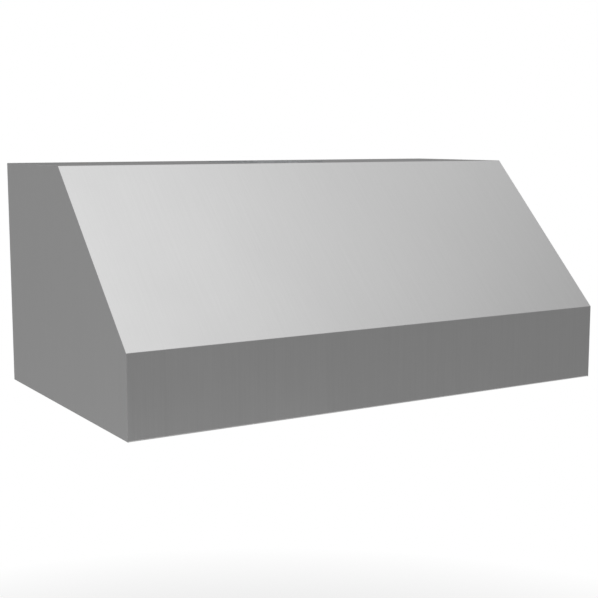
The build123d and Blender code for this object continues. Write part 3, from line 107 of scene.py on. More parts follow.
class NodeSketch:
    """A material's node tree, with a short call for each node that a finish needs."""

    def __init__(self, name: str) -> None:
        """Start a material with one Principled shader.

        Args:
            name: The material's name.
        """
        self.material = bpy.data.materials.new(name)
        self.material.use_nodes = True
        self.tree = self.material.node_tree
        self.shader = self.tree.nodes["Principled BSDF"]
        self.out = self.tree.nodes["Material Output"]
        self.place = self.node("ShaderNodeTexCoord").outputs["Object"]

    def node(
        self, kind: str, inputs: dict[int | str, object] | None = None, **settings: object
    ) -> bpy.types.Node:
        """Add a node.

        Args:
            kind: The node's type name.
            inputs: What goes into its inputs, by their numbers or names.
            settings: Attributes to set on it.

        Returns:
            The new node.
        """
        made = self.tree.nodes.new(kind)
        for key, value in settings.items():
            setattr(made, key, value)
        for key, value in (inputs or {}).items():
            self.feed(value, made.inputs[key])
        return made

    def feed(self, value: object, socket: Socket) -> None:
        """Link a socket, or write a plain value, into an input.

        Args:
            value: A socket to link, or the value to write.
            socket: The input that takes it.
        """
        if isinstance(value, Socket):
            self.tree.links.new(value, socket)
        else:
            socket.default_value = value

    def set(self, **inputs: object) -> None:
        """Fill the shader's inputs, named with underscores for spaces."""
        for key, value in inputs.items():
            self.feed(value, self.shader.inputs[key.replace("_", " ")])

    def scaled_place(self, scale: Triple, shift: Triple = (0.0, 0.0, 0.0)) -> Socket:
        """The object coordinates, stretched to scale cells per metre and moved by shift cells."""
        inputs = {"Vector": self.place, "Scale": scale, "Location": shift}
        return self.node("ShaderNodeMapping", inputs).outputs["Vector"]

    def noise(
        self, scale: float | Triple, detail: float = 2.0, shift: Triple = (0.0, 0.0, 0.0)
    ) -> Socket:
        """Soft noise over the surface.

        Args:
            scale: Cells per metre, one number or one for each axis.
            detail: How many finer layers are added.
            shift: How far the pattern is moved, in cells.

        Returns:
            A value about 0.5, from 0 to 1.
        """
        cells = scale if isinstance(scale, tuple) else (scale,) * 3
        inputs = {"Vector": self.scaled_place(cells, shift), "Scale": 1.0, "Detail": detail}
        return self.node("ShaderNodeTexNoise", inputs).outputs["Fac"]

    def remap(self, value: Socket, low: float, high: float, start: float, end: float) -> Socket:
        """Spread a value from low to high over start to end, and hold it between them."""
        inputs = dict(enumerate((value, low, high, start, end)))
        return self.node("ShaderNodeMapRange", inputs).outputs[0]

    def combine(self, operation: str, first: object, second: object) -> Socket:
        """Do the named sum on two values or sockets."""
        return self.node("ShaderNodeMath", {0: first, 1: second}, operation=operation).outputs[0]

    def weighed(self, first: Socket, share: float, second: Socket, rest: float) -> Socket:
        """Add the first value times share to the second value times rest."""
        return self.combine("ADD", self.combine("MULTIPLY", first, share),
                            self.combine("MULTIPLY", second, rest))

    def mixed(self, share: Socket, first: object, second: object) -> Socket:
        """Blend from the first value, where share is 0, to the second, where it is 1."""
        # The node lists its plain inputs at 2 and 3 and its colours at 6 and 7.
        inputs = {0: share, 2: first, 3: second}
        return self.node("ShaderNodeMix", inputs, data_type="FLOAT").outputs[0]

    def tint(self, share: object, first: Colour, second: Colour) -> Socket:
        """Mix from the first colour, where share is 0, to the second, where it is 1."""
        inputs = {0: share, 6: (*first, 1.0), 7: (*second, 1.0)}
        return self.node("ShaderNodeMix", inputs, data_type="RGBA").outputs[2]

    def bump(self, height: Socket, depth: float, strength: float = 1.0) -> Socket:
        """Turn a height, where 1 stands for depth in metres, into a normal, shown by strength."""
        inputs = {"Distance": depth, "Strength": strength, "Height": height}
        return self.node("ShaderNodeBump", inputs).outputs["Normal"]


def scaled(colour: Colour, by: float) -> Colour:
    """The colour, made lighter or darker by a factor."""
    return (colour[0] * by, colour[1] * by, colour[2] * by)


@dataclass(frozen=True)
class BrushedSteel:
    """Rolled steel drawn with an abrasive belt: fine scratches, long streaks and handling haze."""

    name: str
    colour: Colour = (0.54, 0.54, 0.54)
    roughness: float = 0.34
    grain: Grain = Grain.UPRIGHT
    anisotropy: float = 0.45
    scratch: float = 0.035
    fine_cells: tuple[float, float] = (1700.0, 9.0)
    streak_cells: tuple[float, float] = (160.0, 1.6)
    streak_share: float = 0.2
    gloss_reach: float = 0.03
    haze_cells: float = 5.0
    haze_span: tuple[float, float] = (0.35, 0.65)
    haze_reach: tuple[float, float] = (-0.015, 0.02)
    streak_shift: Triple = (3.1, 7.7, 1.9)
    haze_shift: Triple = (11.0, 4.0, 8.0)
    relief: tuple[float, float] = (0.00001, 0.35)

    def cells(self, across: float, along: float) -> Triple:
        """Noise cells per metre on each axis, few along the grain and many across it."""
        followed = self.grain.value[0]
        return tuple(along if axis in followed else across for axis in "XYZ")

    def build(self) -> Material:
        """Make the material.

        Returns:
            The finished material.
        """
        sketch = NodeSketch(self.name)
        fine = sketch.noise(self.cells(*self.fine_cells), detail=3.0)
        streak = sketch.noise(self.cells(*self.streak_cells), shift=self.streak_shift)
        haze = sketch.noise(self.haze_cells, detail=3.0, shift=self.haze_shift)
        scratches = sketch.weighed(fine, 1.0 - self.streak_share, streak, self.streak_share)
        shade = sketch.remap(scratches, *NOISE_SPAN, 0.0, 1.0)
        dull, bright = self.roughness + self.gloss_reach, self.roughness - self.gloss_reach
        sketch.set(
            Base_Color=sketch.tint(shade, scaled(self.colour, 1.0 - self.scratch),
                                   scaled(self.colour, 1.0 + self.scratch)),
            Metallic=1.0,
            Roughness=sketch.combine(
                "ADD", sketch.remap(scratches, *NOISE_SPAN, bright, dull),
                sketch.remap(haze, *self.haze_span, *self.haze_reach),
            ),
            Anisotropic=self.anisotropy,
            Normal=sketch.bump(fine, *self.relief),
        )
        _, about, quarter = self.grain.value
        tangent = sketch.node("ShaderNodeTangent", direction_type="RADIAL", axis=about)
        sketch.set(Tangent=tangent.outputs["Tangent"], Anisotropic_Rotation=quarter)
        return sketch.material


@dataclass(frozen=True)
class ZincSheet:
    """Galvanised sheet: feathered crystals of differing grey, and a faint orange peel."""

    name: str
    dark: Colour = (0.36, 0.37, 0.385)
    light: Colour = (0.56, 0.575, 0.59)
    crystal: float = 95.0
    feather: float = 0.0025
    feather_cells: float = 1.4
    roughness: float = 0.42
    gloss_reach: float = 0.07
    crystal_share: float = 0.6
    cloud_share: float = 0.35
    cloud_cells: float = 14.0
    peel_cells: float = 420.0
    relief: tuple[float, float] = (0.00002, 0.3)

    def build(self) -> Material:
        """Make the material.

        Returns:
            The finished material.
        """
        sketch = NodeSketch(self.name)
        wander = sketch.node("ShaderNodeTexNoise", {
            "Vector": sketch.place, "Scale": self.crystal * self.feather_cells,
        })
        push = sketch.node("ShaderNodeVectorMath", {
            0: wander.outputs["Color"], "Scale": self.feather,
        }, operation="SCALE")
        bend = sketch.node("ShaderNodeVectorMath", {0: sketch.place, 1: push.outputs["Vector"]})
        cells = sketch.node("ShaderNodeTexVoronoi", {
            "Vector": bend.outputs["Vector"], "Scale": self.crystal,
        })
        parted = sketch.node("ShaderNodeSeparateColor", {"Color": cells.outputs["Color"]})
        crystal = parted.outputs["Red"]
        cloud = sketch.noise(self.cloud_cells, detail=3.0)
        share = sketch.weighed(crystal, self.crystal_share, cloud, self.cloud_share)
        dull, bright = self.roughness + self.gloss_reach, self.roughness - self.gloss_reach
        sketch.set(
            Base_Color=sketch.tint(share, self.dark, self.light),
            Metallic=1.0,
            Roughness=sketch.remap(crystal, 0.0, 1.0, bright, dull),
            Normal=sketch.bump(sketch.noise(self.peel_cells), *self.relief),
        )
        return sketch.material


@dataclass(frozen=True)
class SmoothMetal:
    """Plated, turned or cast metal, with fine pitting and slight patches in its gloss."""

    name: str
    colour: Colour
    roughness: float = 0.25
    pitting: float = 300.0
    depth: float = 0.00001
    patch: float = 0.04
    pit_shift: Triple = (2.0, 5.0, 9.0)
    pit_share: float = 0.4
    patch_cells: float = 30.0
    patch_shades: tuple[float, float] = (0.94, 1.05)

    def build(self) -> Material:
        """Make the material.

        Returns:
            The finished material.
        """
        sketch = NodeSketch(self.name)
        patches = sketch.noise(self.patch_cells, detail=3.0)
        pits = sketch.noise(self.pitting, shift=self.pit_shift)
        sketch.set(
            Base_Color=sketch.tint(
                patches, *(scaled(self.colour, shade) for shade in self.patch_shades)
            ),
            Metallic=1.0,
            Roughness=sketch.remap(patches, *NOISE_SPAN, self.roughness - self.patch,
                                   self.roughness + self.patch),
            Normal=sketch.bump(pits, self.depth, self.pit_share),
        )
        return sketch.material


@dataclass(frozen=True)
class MouldedPlastic:
    """Moulded or enamelled non-metal: an even colour with a fine texture from its mould."""

    name: str
    colour: Colour
    roughness: float = 0.45
    texture: float = 900.0
    depth: float = 0.00002
    coat: float = 0.0
    texture_shift: Triple = (4.0, 1.0, 6.0)
    texture_share: float = 0.5
    gloss_reach: tuple[float, float] = (-0.05, 0.06)
    tone_cells: float = 18.0
    tone_shades: tuple[float, float] = (0.93, 1.06)

    def build(self) -> Material:
        """Make the material.

        Returns:
            The finished material.
        """
        sketch = NodeSketch(self.name)
        tone = sketch.noise(self.tone_cells, detail=3.0)
        skin = sketch.noise(self.texture, shift=self.texture_shift)
        sketch.set(
            Base_Color=sketch.tint(
                tone, *(scaled(self.colour, shade) for shade in self.tone_shades)
            ),
            Roughness=sketch.remap(
                skin, *NOISE_SPAN, *(self.roughness + step for step in self.gloss_reach)
            ),
            Normal=sketch.bump(skin, self.depth, self.texture_share),
            Coat_Weight=self.coat,
        )
        return sketch.material


@dataclass(frozen=True)
class FrostedLens:
    """Opal lamp cover: milky, soft, a little darker in places at random, and rippled from its
    moulding.
    """

    name: str
    colour: Colour = (0.86, 0.87, 0.87)
    roughness: tuple[float, float] = (0.34, 0.46)
    milkiness: float = 0.35
    milk_depth: float = 0.004
    milk_cells: float = 120.0
    milk_shade: float = 0.96
    ripple_cells: float = 1500.0
    relief: tuple[float, float] = (0.00002, 0.3)

    def build(self) -> Material:
        """Make the material.

        Returns:
            The finished material.
        """
        sketch = NodeSketch(self.name)
        milk = sketch.noise(self.milk_cells)
        ripple = sketch.noise(self.ripple_cells)
        sketch.set(
            Base_Color=sketch.tint(milk, scaled(self.colour, self.milk_shade), self.colour),
            Roughness=sketch.remap(ripple, *NOISE_SPAN, *self.roughness),
            Subsurface_Weight=self.milkiness,
            Subsurface_Scale=self.milk_depth,
            Normal=sketch.bump(ripple, *self.relief),
        )
        return sketch.material


Finish = BrushedSteel | ZincSheet | SmoothMetal | MouldedPlastic | FrostedLens


def placed_mesh(name: str, shape: Shape, crease: float = 0.0) -> Piece:
    """Turn a finished bmesh into an object that sits at the origin.

    Args:
        name: The object's name.
        shape: The bmesh, which is used up.
        crease: Shade smooth except over edges sharper than this, in degrees; 0 leaves it flat.

    Returns:
        The new object.
    """
    mesh = bpy.data.meshes.new(name)
    shape.to_mesh(mesh)
    shape.free()
    if crease:
        mesh.shade_smooth()
        mesh.set_sharp_from_angle(angle=math.radians(crease))
    made = bpy.data.objects.new(name, mesh)
    bpy.context.scene.collection.objects.link(made)
    return made


def gathered(shapes: Sequence[Shape]) -> Shape:
    """Put several shapes into one bmesh.

    Args:
        shapes: The shapes, which are used up.

    Returns:
        One bmesh that holds them all.
    """
    whole = bmesh.new()
    for shape in shapes:
        mesh = bpy.data.meshes.new("part")
        shape.to_mesh(mesh)
        shape.free()
        whole.from_mesh(mesh)
        bpy.data.meshes.remove(mesh)
    return whole


def moved(
    shape: Shape, to: Triple, turn: Matrix | None = None
) -> Shape:
    """Turn a shape about the origin and carry it to its place.

    Args:
        shape: The shape to move.
        to: Where its origin goes.
        turn: A rotation done first, if any.

    Returns:
        The same shape.
    """
    if turn is not None:
        bmesh.ops.transform(shape, matrix=turn, verts=shape.verts)
    bmesh.ops.translate(shape, vec=to, verts=shape.verts)
    return shape


def rounded(
    shape: Shape,
    radius: float,
    wanted: Callable[[Edge], bool],
    segments: int = 3,
) -> Shape:
    """Round the edges that a test picks.

    Args:
        shape: The shape to work on.
        radius: How far the rounding reaches from the edge.
        wanted: Says of an edge whether it is rounded.
        segments: Steps across the rounding.

    Returns:
        The same shape.
    """
    edges = [edge for edge in shape.edges if wanted(edge)]
    bmesh.ops.bevel(
        shape, geom=edges, offset=radius, segments=segments, profile=0.5,
        affect="EDGES", material=-1, clamp_overlap=True,
    )
    return shape


def verts_in(geom: Sequence[object]) -> list[bmesh.types.BMVert]:
    """The vertices among the things that an operator made."""
    return [item for item in geom if isinstance(item, bmesh.types.BMVert)]


def level_round(edge: Edge) -> bool:
    """Tell whether an edge of a turned shape runs round its axis.

    Args:
        edge: The edge.

    Returns:
        True if both its ends are at one radius and one height.
    """
    first, second = (vert.co for vert in edge.verts)
    same = abs(math.hypot(first.x, first.y) - math.hypot(second.x, second.y)) < TOUCH
    return same and abs(first.z - second.z) < TOUCH


def turned(
    profile: Sequence[tuple[float, float]],
    rounding: float = 0.0,
    steps: int = ROUND_STEPS,
    solid: bool = False,
) -> Shape:
    """Turn a profile round the upright axis.

    Args:
        profile: Points of (radius, height), in order.
        rounding: How far the rounding of its corners reaches.
        steps: Flats round the turn.
        solid: True for a profile that starts and ends on the axis, False for a ring's closed one.

    Returns:
        The turned shape about the origin.
    """
    shape = bmesh.new()
    verts = [shape.verts.new((radius, 0.0, height)) for radius, height in profile]
    ends = verts[1:] if solid else verts[1:] + verts[:1]
    edges = [shape.edges.new(pair) for pair in zip(verts, ends)]
    bmesh.ops.spin(
        shape, geom=verts + edges, cent=(0, 0, 0), axis=(0, 0, 1), angle=math.tau,
        steps=steps, use_merge=True,
    )
    bmesh.ops.remove_doubles(shape, verts=shape.verts, dist=TOUCH)
    if rounding:
        rounded(shape, rounding, level_round)
    bmesh.ops.recalc_face_normals(shape, faces=shape.faces)
    return shape


def bar(size: Triple, centre: Triple, rounding: float = 0.0) -> Shape:
    """A straight bar with its edges eased.

    Args:
        size: Its length along each axis.
        centre: Its middle.
        rounding: How far the easing reaches.

    Returns:
        The bar.
    """
    shape = bmesh.new()
    bmesh.ops.create_cube(shape, size=1.0)
    bmesh.ops.scale(shape, vec=size, verts=shape.verts)
    if rounding:
        rounded(shape, rounding, lambda edge: True, 2)
    return moved(shape, centre)


def printed_number(text: str, size: float, place: Triple) -> Shape:
    """A number printed on a face that looks down, with its top towards the front.

    Args:
        text: The digits.
        size: The type size.
        place: The middle of the number.

    Returns:
        The digits as a thin shape.
    """
    curve = bpy.data.curves.new("digits", "FONT")
    curve.body = text
    curve.size = size
    curve.align_x = "CENTER"
    curve.align_y = "CENTER"
    curve.extrude = INK / 2
    curve.resolution_u = 3
    holder = bpy.data.objects.new("digits", curve)
    bpy.context.scene.collection.objects.link(holder)
    mesh = bpy.data.meshes.new_from_object(holder)
    shape = bmesh.new()
    shape.from_mesh(mesh)
    bpy.data.objects.remove(holder)
    bpy.data.meshes.remove(mesh)
    bmesh.ops.remove_doubles(shape, verts=shape.verts, dist=TOUCH)
    return moved(shape, place, Matrix.Rotation(math.pi, 4, "X"))


@dataclass
class Bench:
    """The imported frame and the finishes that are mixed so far."""

    frame: dict
    mixed: dict[str, Material] = field(default_factory=dict)

    def paint(self, piece: Piece, finish: Finish) -> None:
        """Give an object one finish in place of what it came with.

        Args:
            piece: The object.
            finish: Its finish.
        """
        if finish.name not in self.mixed:
            self.mixed[finish.name] = finish.build()
        piece.data.materials.clear()
        piece.data.materials.append(self.mixed[finish.name])

    def dress(self, finish: Finish, *nodes: str) -> None:
        """Finish CAD nodes whose shape stays.

        Args:
            finish: The finish that they share.
            nodes: Their names.
        """
        for node in nodes:
            self.paint(self.frame["nodes"][node], finish)
            LOG.info("node %s in %s", node, finish.name)

    def hang(
        self, piece: Piece, body: str, slot: str, finish: Finish, *nodes: str
    ) -> None:
        """Finish a new piece, and let it ride on its body.

        Args:
            piece: The piece.
            body: The CAD body that carries it.
            slot: The record's material slot; not used.
            finish: Its finish.
            nodes: CAD nodes that it stands for.
        """
        self.paint(piece, finish)
        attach(piece, body)
        if nodes:
            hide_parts(*nodes)
        LOG.info("piece %s on %s, %d faces", piece.name, body, len(piece.data.polygons))


@dataclass
class Canopy:
    """Folded shell: ends, lip and slope, top, and the plate against the wall."""

    bench: Bench
    front: Finish = BrushedSteel("canopy_steel")
    ends: Finish = BrushedSteel("canopy_end_steel", grain=Grain.SIDE_UPRIGHT)
    rear: Finish = ZincSheet("back_zinc")

    def build(self) -> None:
        """Dress the shell."""
        self.bench.dress(self.front, "front_panel", "top_panel")
        self.bench.dress(self.ends, "left_side_panel", "right_side_panel")
        self.bench.dress(self.rear, "back_panel")


@dataclass
class Underside:
    """Light panel, rear pan, gutter, end rails, dividers and the sliding grease cup."""

    bench: Bench
    sheet: Finish = BrushedSteel("underside_steel", grain=Grain.ACROSS, roughness=0.36)
    cup: Finish = BrushedSteel("cup_steel", grain=Grain.ACROSS, roughness=0.28)
    magnet: Finish = MouldedPlastic("magnet_black", (0.03, 0.03, 0.032), 0.5)

    def build(self) -> None:
        """Dress the sheets and the cup."""
        self.bench.dress(
            self.sheet, "light_panel", "rear_pan", "grease_gutter", "left_end_rail",
            "right_end_rail", "filter_dividers", "cup_rails",
        )
        self.bench.dress(self.cup, "grease_cup")
        self.bench.dress(self.magnet, "filter_magnets")


@dataclass
class Filters:
    """Three baffle filters, hung on pegs and tilted up at the front."""

    bench: Bench
    middles: tuple[float, ...] = (-0.338, 0.0, 0.338)
    names: tuple[str, ...] = ("left", "middle", "right")
    pivot_y: float = -0.110
    pivot_z: float = 0.060 + RIM_Z
    tilt: float = math.radians(-6.0)
    front: float = -0.3649
    rear: float = 0.0127
    low: float = -0.003
    high: float = 0.011
    pitch: float = 0.030
    blades: int = 11
    half: float = 0.010
    leg: float = 0.0085
    lip: float = 0.0016
    sheet: float = 0.0008
    bend: float = 0.0014
    frame_finish: Finish = BrushedSteel("filter_steel", grain=Grain.FRONT_TO_BACK, roughness=0.3)
    blade_finish: Finish = BrushedSteel(
        "baffle_steel", grain=Grain.FRONT_TO_BACK, roughness=0.22, colour=(0.6, 0.605, 0.61)
    )
    wire_finish: Finish = SmoothMetal("wire_steel", (0.64, 0.64, 0.645), 0.16)

    def blade(self, x: float, base: float, way: float) -> Shape:
        """Fold one long channel with rounded bends and lips turned in.

        Args:
            x: The middle of the channel.
            base: The height of its floor.
            way: 1 for legs that point up, -1 for down.

        Returns:
            The folded channel.
        """
        tip = base + way * (self.leg - self.lip / 2)
        knee = tip - way * self.lip
        section = [(-self.half + self.lip, tip), (-self.half, knee), (-self.half, base)]
        section += [(-across, height) for across, height in reversed(section)]
        shape = bmesh.new()
        verts = [shape.verts.new((x + across, self.front, height)) for across, height in section]
        edges = [shape.edges.new(pair) for pair in zip(verts, verts[1:])]
        drawn = bmesh.ops.extrude_edge_only(shape, edges=edges)["geom"]
        bmesh.ops.translate(
            shape, vec=(0.0, self.rear - self.front, 0.0), verts=verts_in(drawn)
        )
        for height, radius, segments in ((base, self.bend, 3), (knee, self.lip / 3, 2)):
            rounded(
                shape, radius,
                lambda edge: len(edge.link_faces) == 2
                and abs(edge.verts[0].co.z - height) < NEAR,
                segments,
            )
        bmesh.ops.recalc_face_normals(shape, faces=shape.faces)
        outward = sum((face.normal.z * face.calc_area() for face in shape.faces), 0.0)
        if outward * way > 0.0:
            bmesh.ops.reverse_faces(shape, faces=shape.faces)
        bmesh.ops.solidify(shape, geom=shape.faces, thickness=self.sheet)
        bmesh.ops.recalc_face_normals(shape, faces=shape.faces)
        return shape

    def baffles(self, name: str, middle: float) -> Piece:
        """Build both interleaved layers of one filter.

        Args:
            name: The filter's side.
            middle: Its middle along x.

        Returns:
            The blades as one piece.
        """
        shapes = [
            self.blade((i - (count - 1) / 2) * self.pitch, base, way)
            for count, base, way in (
                (self.blades, self.low, 1.0), (self.blades - 1, self.high, -1.0)
            )
            for i in range(count)
        ]
        whole = moved(
            gathered(shapes), (middle, self.pivot_y, self.pivot_z),
            Matrix.Rotation(self.tilt, 4, "X"),
        )
        return placed_mesh(f"{name}_baffle_blades", whole, crease=40.0)

    def build(self) -> None:
        """Build the blades and dress the frames and handles."""
        for name, middle in zip(self.names, self.middles):
            self.bench.dress(self.frame_finish, f"{name}_filter_frame")
            self.bench.dress(self.wire_finish, f"{name}_filter_handle")
            self.bench.hang(
                self.baffles(name, middle), f"{name}_filter", "filter_steel",
                self.blade_finish, f"{name}_filter_baffles",
            )


@dataclass
class Lamps:
    """Two recessed lamps: polished trim, opal lens, housing, board and springs."""

    bench: Bench
    middles: tuple[float, ...] = (-0.330, 0.330)
    trim_radius: float = 0.040
    opening: float = 0.031
    trim: float = 0.002
    trim_inner_slope: float = 0.0012
    trim_outer_slope: float = 0.0022
    trim_ease: float = 0.0003
    trim_edges: tuple[float, float] = (0.45, 0.35)
    lens_radius: float = 0.0324
    lens: float = 0.002
    lens_margin: float = 0.0015
    dome: float = 0.0012
    dome_steps: int = 6
    dome_fall: float = 0.45
    ribs: int = 5
    rib_pitch: float = 0.0024
    rib_depth: float = 0.0004
    groove: float = 0.4
    crest: float = 0.9
    lens_play: float = 0.0004
    chrome: Finish = SmoothMetal("bezel_chrome", (0.68, 0.68, 0.69), 0.1, patch=0.02)
    opal: Finish = FrostedLens("lens_frosted")
    cast: Finish = SmoothMetal("lamp_aluminium", (0.62, 0.63, 0.64), 0.42, 160.0, 0.0001)
    mask: Finish = MouldedPlastic("board_white", (0.8, 0.8, 0.78), 0.35)
    spring: Finish = SmoothMetal("spring_steel", (0.5, 0.5, 0.51), 0.3)

    def trim_ring(self, x: float) -> Shape:
        """Turn the trim ring under the panel.

        Args:
            x: The lamp's middle.

        Returns:
            The ring.
        """
        deep, outer, inner = -self.trim, self.trim_radius, self.opening
        inside, outside = (deep * share for share in self.trim_edges)
        profile = [
            (inner, 0.0), (inner, inside), (inner + self.trim_inner_slope, deep),
            (outer - self.trim_outer_slope, deep), (outer, outside), (outer, 0.0),
        ]
        return moved(turned(profile, self.trim_ease), (x, PANEL_MIDDLE_Y, PANEL_Z))

    def lens_disc(self, x: float) -> Shape:
        """Turn the lens: a low dome inside a few moulded ribs.

        Args:
            x: The lamp's middle.

        Returns:
            The lens.
        """
        start = self.opening - self.lens_margin - self.ribs * self.rib_pitch
        face = [
            (start * step / self.dome_steps,
             -self.dome * (1 - (step / self.dome_steps) ** 2 * self.dome_fall))
            for step in range(self.dome_steps + 1)
        ]
        for rib in range(self.ribs):
            out = start + rib * self.rib_pitch
            drop = -self.dome * (1 - self.dome_fall) * (1 - rib / self.ribs)
            face.append((out + self.rib_pitch * self.groove, drop + self.rib_depth))
            face.append((out + self.rib_pitch * self.crest, drop))
        face += [(self.opening - self.lens_play, 0.0), (self.lens_radius, 0.0)]
        profile = face + [(self.lens_radius, self.lens), (0.0, self.lens)]
        return moved(turned(profile, solid=True), (x, PANEL_MIDDLE_Y, PANEL_Z))

    def build(self) -> None:
        """Build trims and lenses, and dress what is above the panel."""
        trims = gathered([self.trim_ring(x) for x in self.middles])
        self.bench.hang(
            placed_mesh("lamp_trims", trims, crease=50.0), "canopy", "bezel_chrome", self.chrome,
            "lamp_bezels",
        )
        discs = gathered([self.lens_disc(x) for x in self.middles])
        self.bench.hang(
            placed_mesh("opal_lenses", discs, crease=40.0), "canopy", "lens_frosted", self.opal,
            "lamp_lenses",
        )
        self.bench.dress(self.cast, "lamp_housings")
        self.bench.dress(self.mask, "led_boards")
        self.bench.dress(self.spring, "lamp_springs")


@dataclass
class Dial:
    """What one knob's scale shows: its numbers, and the marks between them."""

    side: str
    x: float
    numbers: tuple[str, ...]
    between: int


@dataclass
class Controls:
    """Two turned knobs over numbered scale plates, with their switches above the panel."""

    bench: Bench
    plate: float = 0.0008
    plate_radius: float = 0.029
    plate_bore: float = 0.0049
    plate_edge: float = 0.0004
    knob_top: float = 0.0707 + RIM_Z
    knob_height: float = 0.020
    grip: float = 0.017
    flute: float = 0.0015
    flutes: int = 12
    flute_steps: int = 8
    grip_ease: float = 0.0013
    face_rim: float = 0.0011
    face_dish: float = 0.0005
    skirt: float = 0.020
    skirt_height: float = 0.003
    skirt_steps: int = 144
    skirt_slope: tuple[float, float] = (0.0006, 0.0008)
    recess: float = 0.0096
    ridge: float = 0.0022
    ridge_height: float = 0.0012
    ease: float = 0.0003
    sunk: float = 0.0001
    line: float = 0.0009
    line_share: float = 0.55
    line_margin: float = 0.0032
    line_drop: float = 0.00052
    sweep: float = math.radians(270.0)
    long_mark: tuple[float, float] = (0.00045, 0.0019)
    short_mark: tuple[float, float] = (0.0003, 0.0010)
    mark_radius: float = 0.0208
    number_radius: float = 0.0257
    number_size: float = 0.0048
    dials: tuple[Dial, ...] = (
        Dial("fan", -0.042, ("0", "1", "2", "3"), 2),
        Dial("light", 0.042, ("0", "1", "2", "3", "4", "5"), 1),
    )
    steel: Finish = BrushedSteel(
        "knob_steel", grain=Grain.ROUND, roughness=0.24, colour=(0.6, 0.6, 0.605)
    )
    plate_finish: Finish = BrushedSteel(
        "dial_aluminium", grain=Grain.ROUND, roughness=0.34, colour=(0.5, 0.5, 0.51)
    )
    ink: Finish = MouldedPlastic("scale_ink", (0.012, 0.012, 0.013), 0.5)
    black: Finish = MouldedPlastic("switch_black", (0.035, 0.035, 0.036), 0.45)
    shaft: Finish = SmoothMetal("switch_shaft_steel", (0.55, 0.55, 0.55), 0.22)
    zinc: Finish = ZincSheet("cover_zinc", crystal=130.0)
    case: Finish = MouldedPlastic("driver_white", (0.7, 0.7, 0.69), 0.4)

    def grip_body(self) -> Shape:
        """Draw the fluted grip down from the skirt, with a rounded rim and a dished face.

        Returns:
            The grip about the knob's axis, with its top at the skirt.
        """
        shape = bmesh.new()
        steps = self.flutes * self.flute_steps
        bmesh.ops.create_circle(shape, cap_ends=True, radius=self.grip, segments=steps)
        for vert in shape.verts:
            wave = -math.cos(math.atan2(vert.co.x, vert.co.y) * self.flutes)
            vert.co.xy *= 1.0 - self.flute / self.grip * max(0.0, wave) ** 2
        drawn = bmesh.ops.extrude_face_region(shape, geom=list(shape.faces))["geom"]
        depth = self.knob_height - self.skirt_height
        bmesh.ops.translate(shape, vec=(0.0, 0.0, -depth), verts=verts_in(drawn))
        rounded(
            shape, self.grip_ease,
            lambda edge: all(vert.co.z < -depth + NEAR for vert in edge.verts), 4,
        )
        lowest = [
            face for face in shape.faces
            if all(vert.co.z < -depth + NEAR for vert in face.verts)
        ]
        bmesh.ops.inset_region(shape, faces=lowest, thickness=self.face_rim)
        bmesh.ops.inset_region(
            shape, faces=lowest, thickness=self.face_dish, depth=-self.face_dish
        )
        bmesh.ops.recalc_face_normals(shape, faces=shape.faces)
        return shape

    def knob(self, dial: Dial) -> Piece:
        """Build one knob: skirt ring, fluted grip and raised pointer.

        Args:
            dial: The knob's scale.

        Returns:
            The knob.
        """
        low = -self.skirt_height
        inward, upward = self.skirt_slope
        ring = turned(
            [(self.recess, 0.0), (self.recess, low), (self.skirt - inward, low),
             (self.skirt, low + upward), (self.skirt, 0.0)],
            self.ease, self.skirt_steps,
        )
        grip = moved(self.grip_body(), (0.0, 0.0, low))
        reach = self.grip - self.ridge
        pointer = bar(
            (self.ridge, reach, self.ridge_height),
            (0.0, -reach / 2, -self.knob_height + self.sunk), self.ease,
        )
        whole = moved(gathered([ring, grip, pointer]), (dial.x, PANEL_MIDDLE_Y, self.knob_top))
        return placed_mesh(f"{dial.side}_turned_knob", whole, crease=32.0)

    def pointer_line(self, dial: Dial) -> Piece:
        """Fill the pointer's ridge with a thin dark line.

        Args:
            dial: The knob's scale.

        Returns:
            The line.
        """
        reach = self.grip * self.line_share
        line = bar(
            (self.line, reach, self.sunk),
            (dial.x, PANEL_MIDDLE_Y - self.grip + self.line_margin + reach / 2,
             self.knob_top - self.knob_height - self.line_drop),
        )
        return placed_mesh(f"{dial.side}_pointer_line", line)

    def scale_plate(self, dial: Dial) -> Piece:
        """Turn the thin plate behind a knob.

        Args:
            dial: The knob's scale.

        Returns:
            The plate.
        """
        bore, rim, low = self.plate_bore, self.plate_radius, -self.plate
        chamfered = [(rim - self.plate_edge, low), (rim, low + self.plate_edge)]
        profile = [(bore, 0.0), (bore, low), *chamfered, (rim, 0.0)]
        plate = moved(turned(profile), (dial.x, PANEL_MIDDLE_Y, PANEL_Z))
        return placed_mesh(f"{dial.side}_scale_plate", plate, crease=50.0)

    def scale_marks(self, dial: Dial) -> Piece:
        """Print the numbers and marks of one scale, clockwise as they are seen from below.

        Args:
            dial: What the scale shows.

        Returns:
            The print.
        """
        middle = Vector((dial.x, PANEL_MIDDLE_Y, PANEL_Z - self.plate))
        shapes = []
        steps = (len(dial.numbers) - 1) * (dial.between + 1)
        for step in range(steps + 1):
            angle = self.sweep * step / steps
            way = Vector((math.sin(angle), -math.cos(angle), 0.0))
            whole, rest = divmod(step, dial.between + 1)
            wide, long = self.short_mark if rest else self.long_mark
            mark = bar((wide, long, INK), (0.0, 0.0, 0.0))
            place = way * (self.mark_radius + long / 2) + middle
            shapes.append(moved(mark, tuple(place), Matrix.Rotation(angle, 4, "Z")))
            if not rest:
                spot = way * self.number_radius + middle
                shapes.append(printed_number(dial.numbers[whole], self.number_size, tuple(spot)))
        return placed_mesh(f"{dial.side}_scale_print", gathered(shapes))

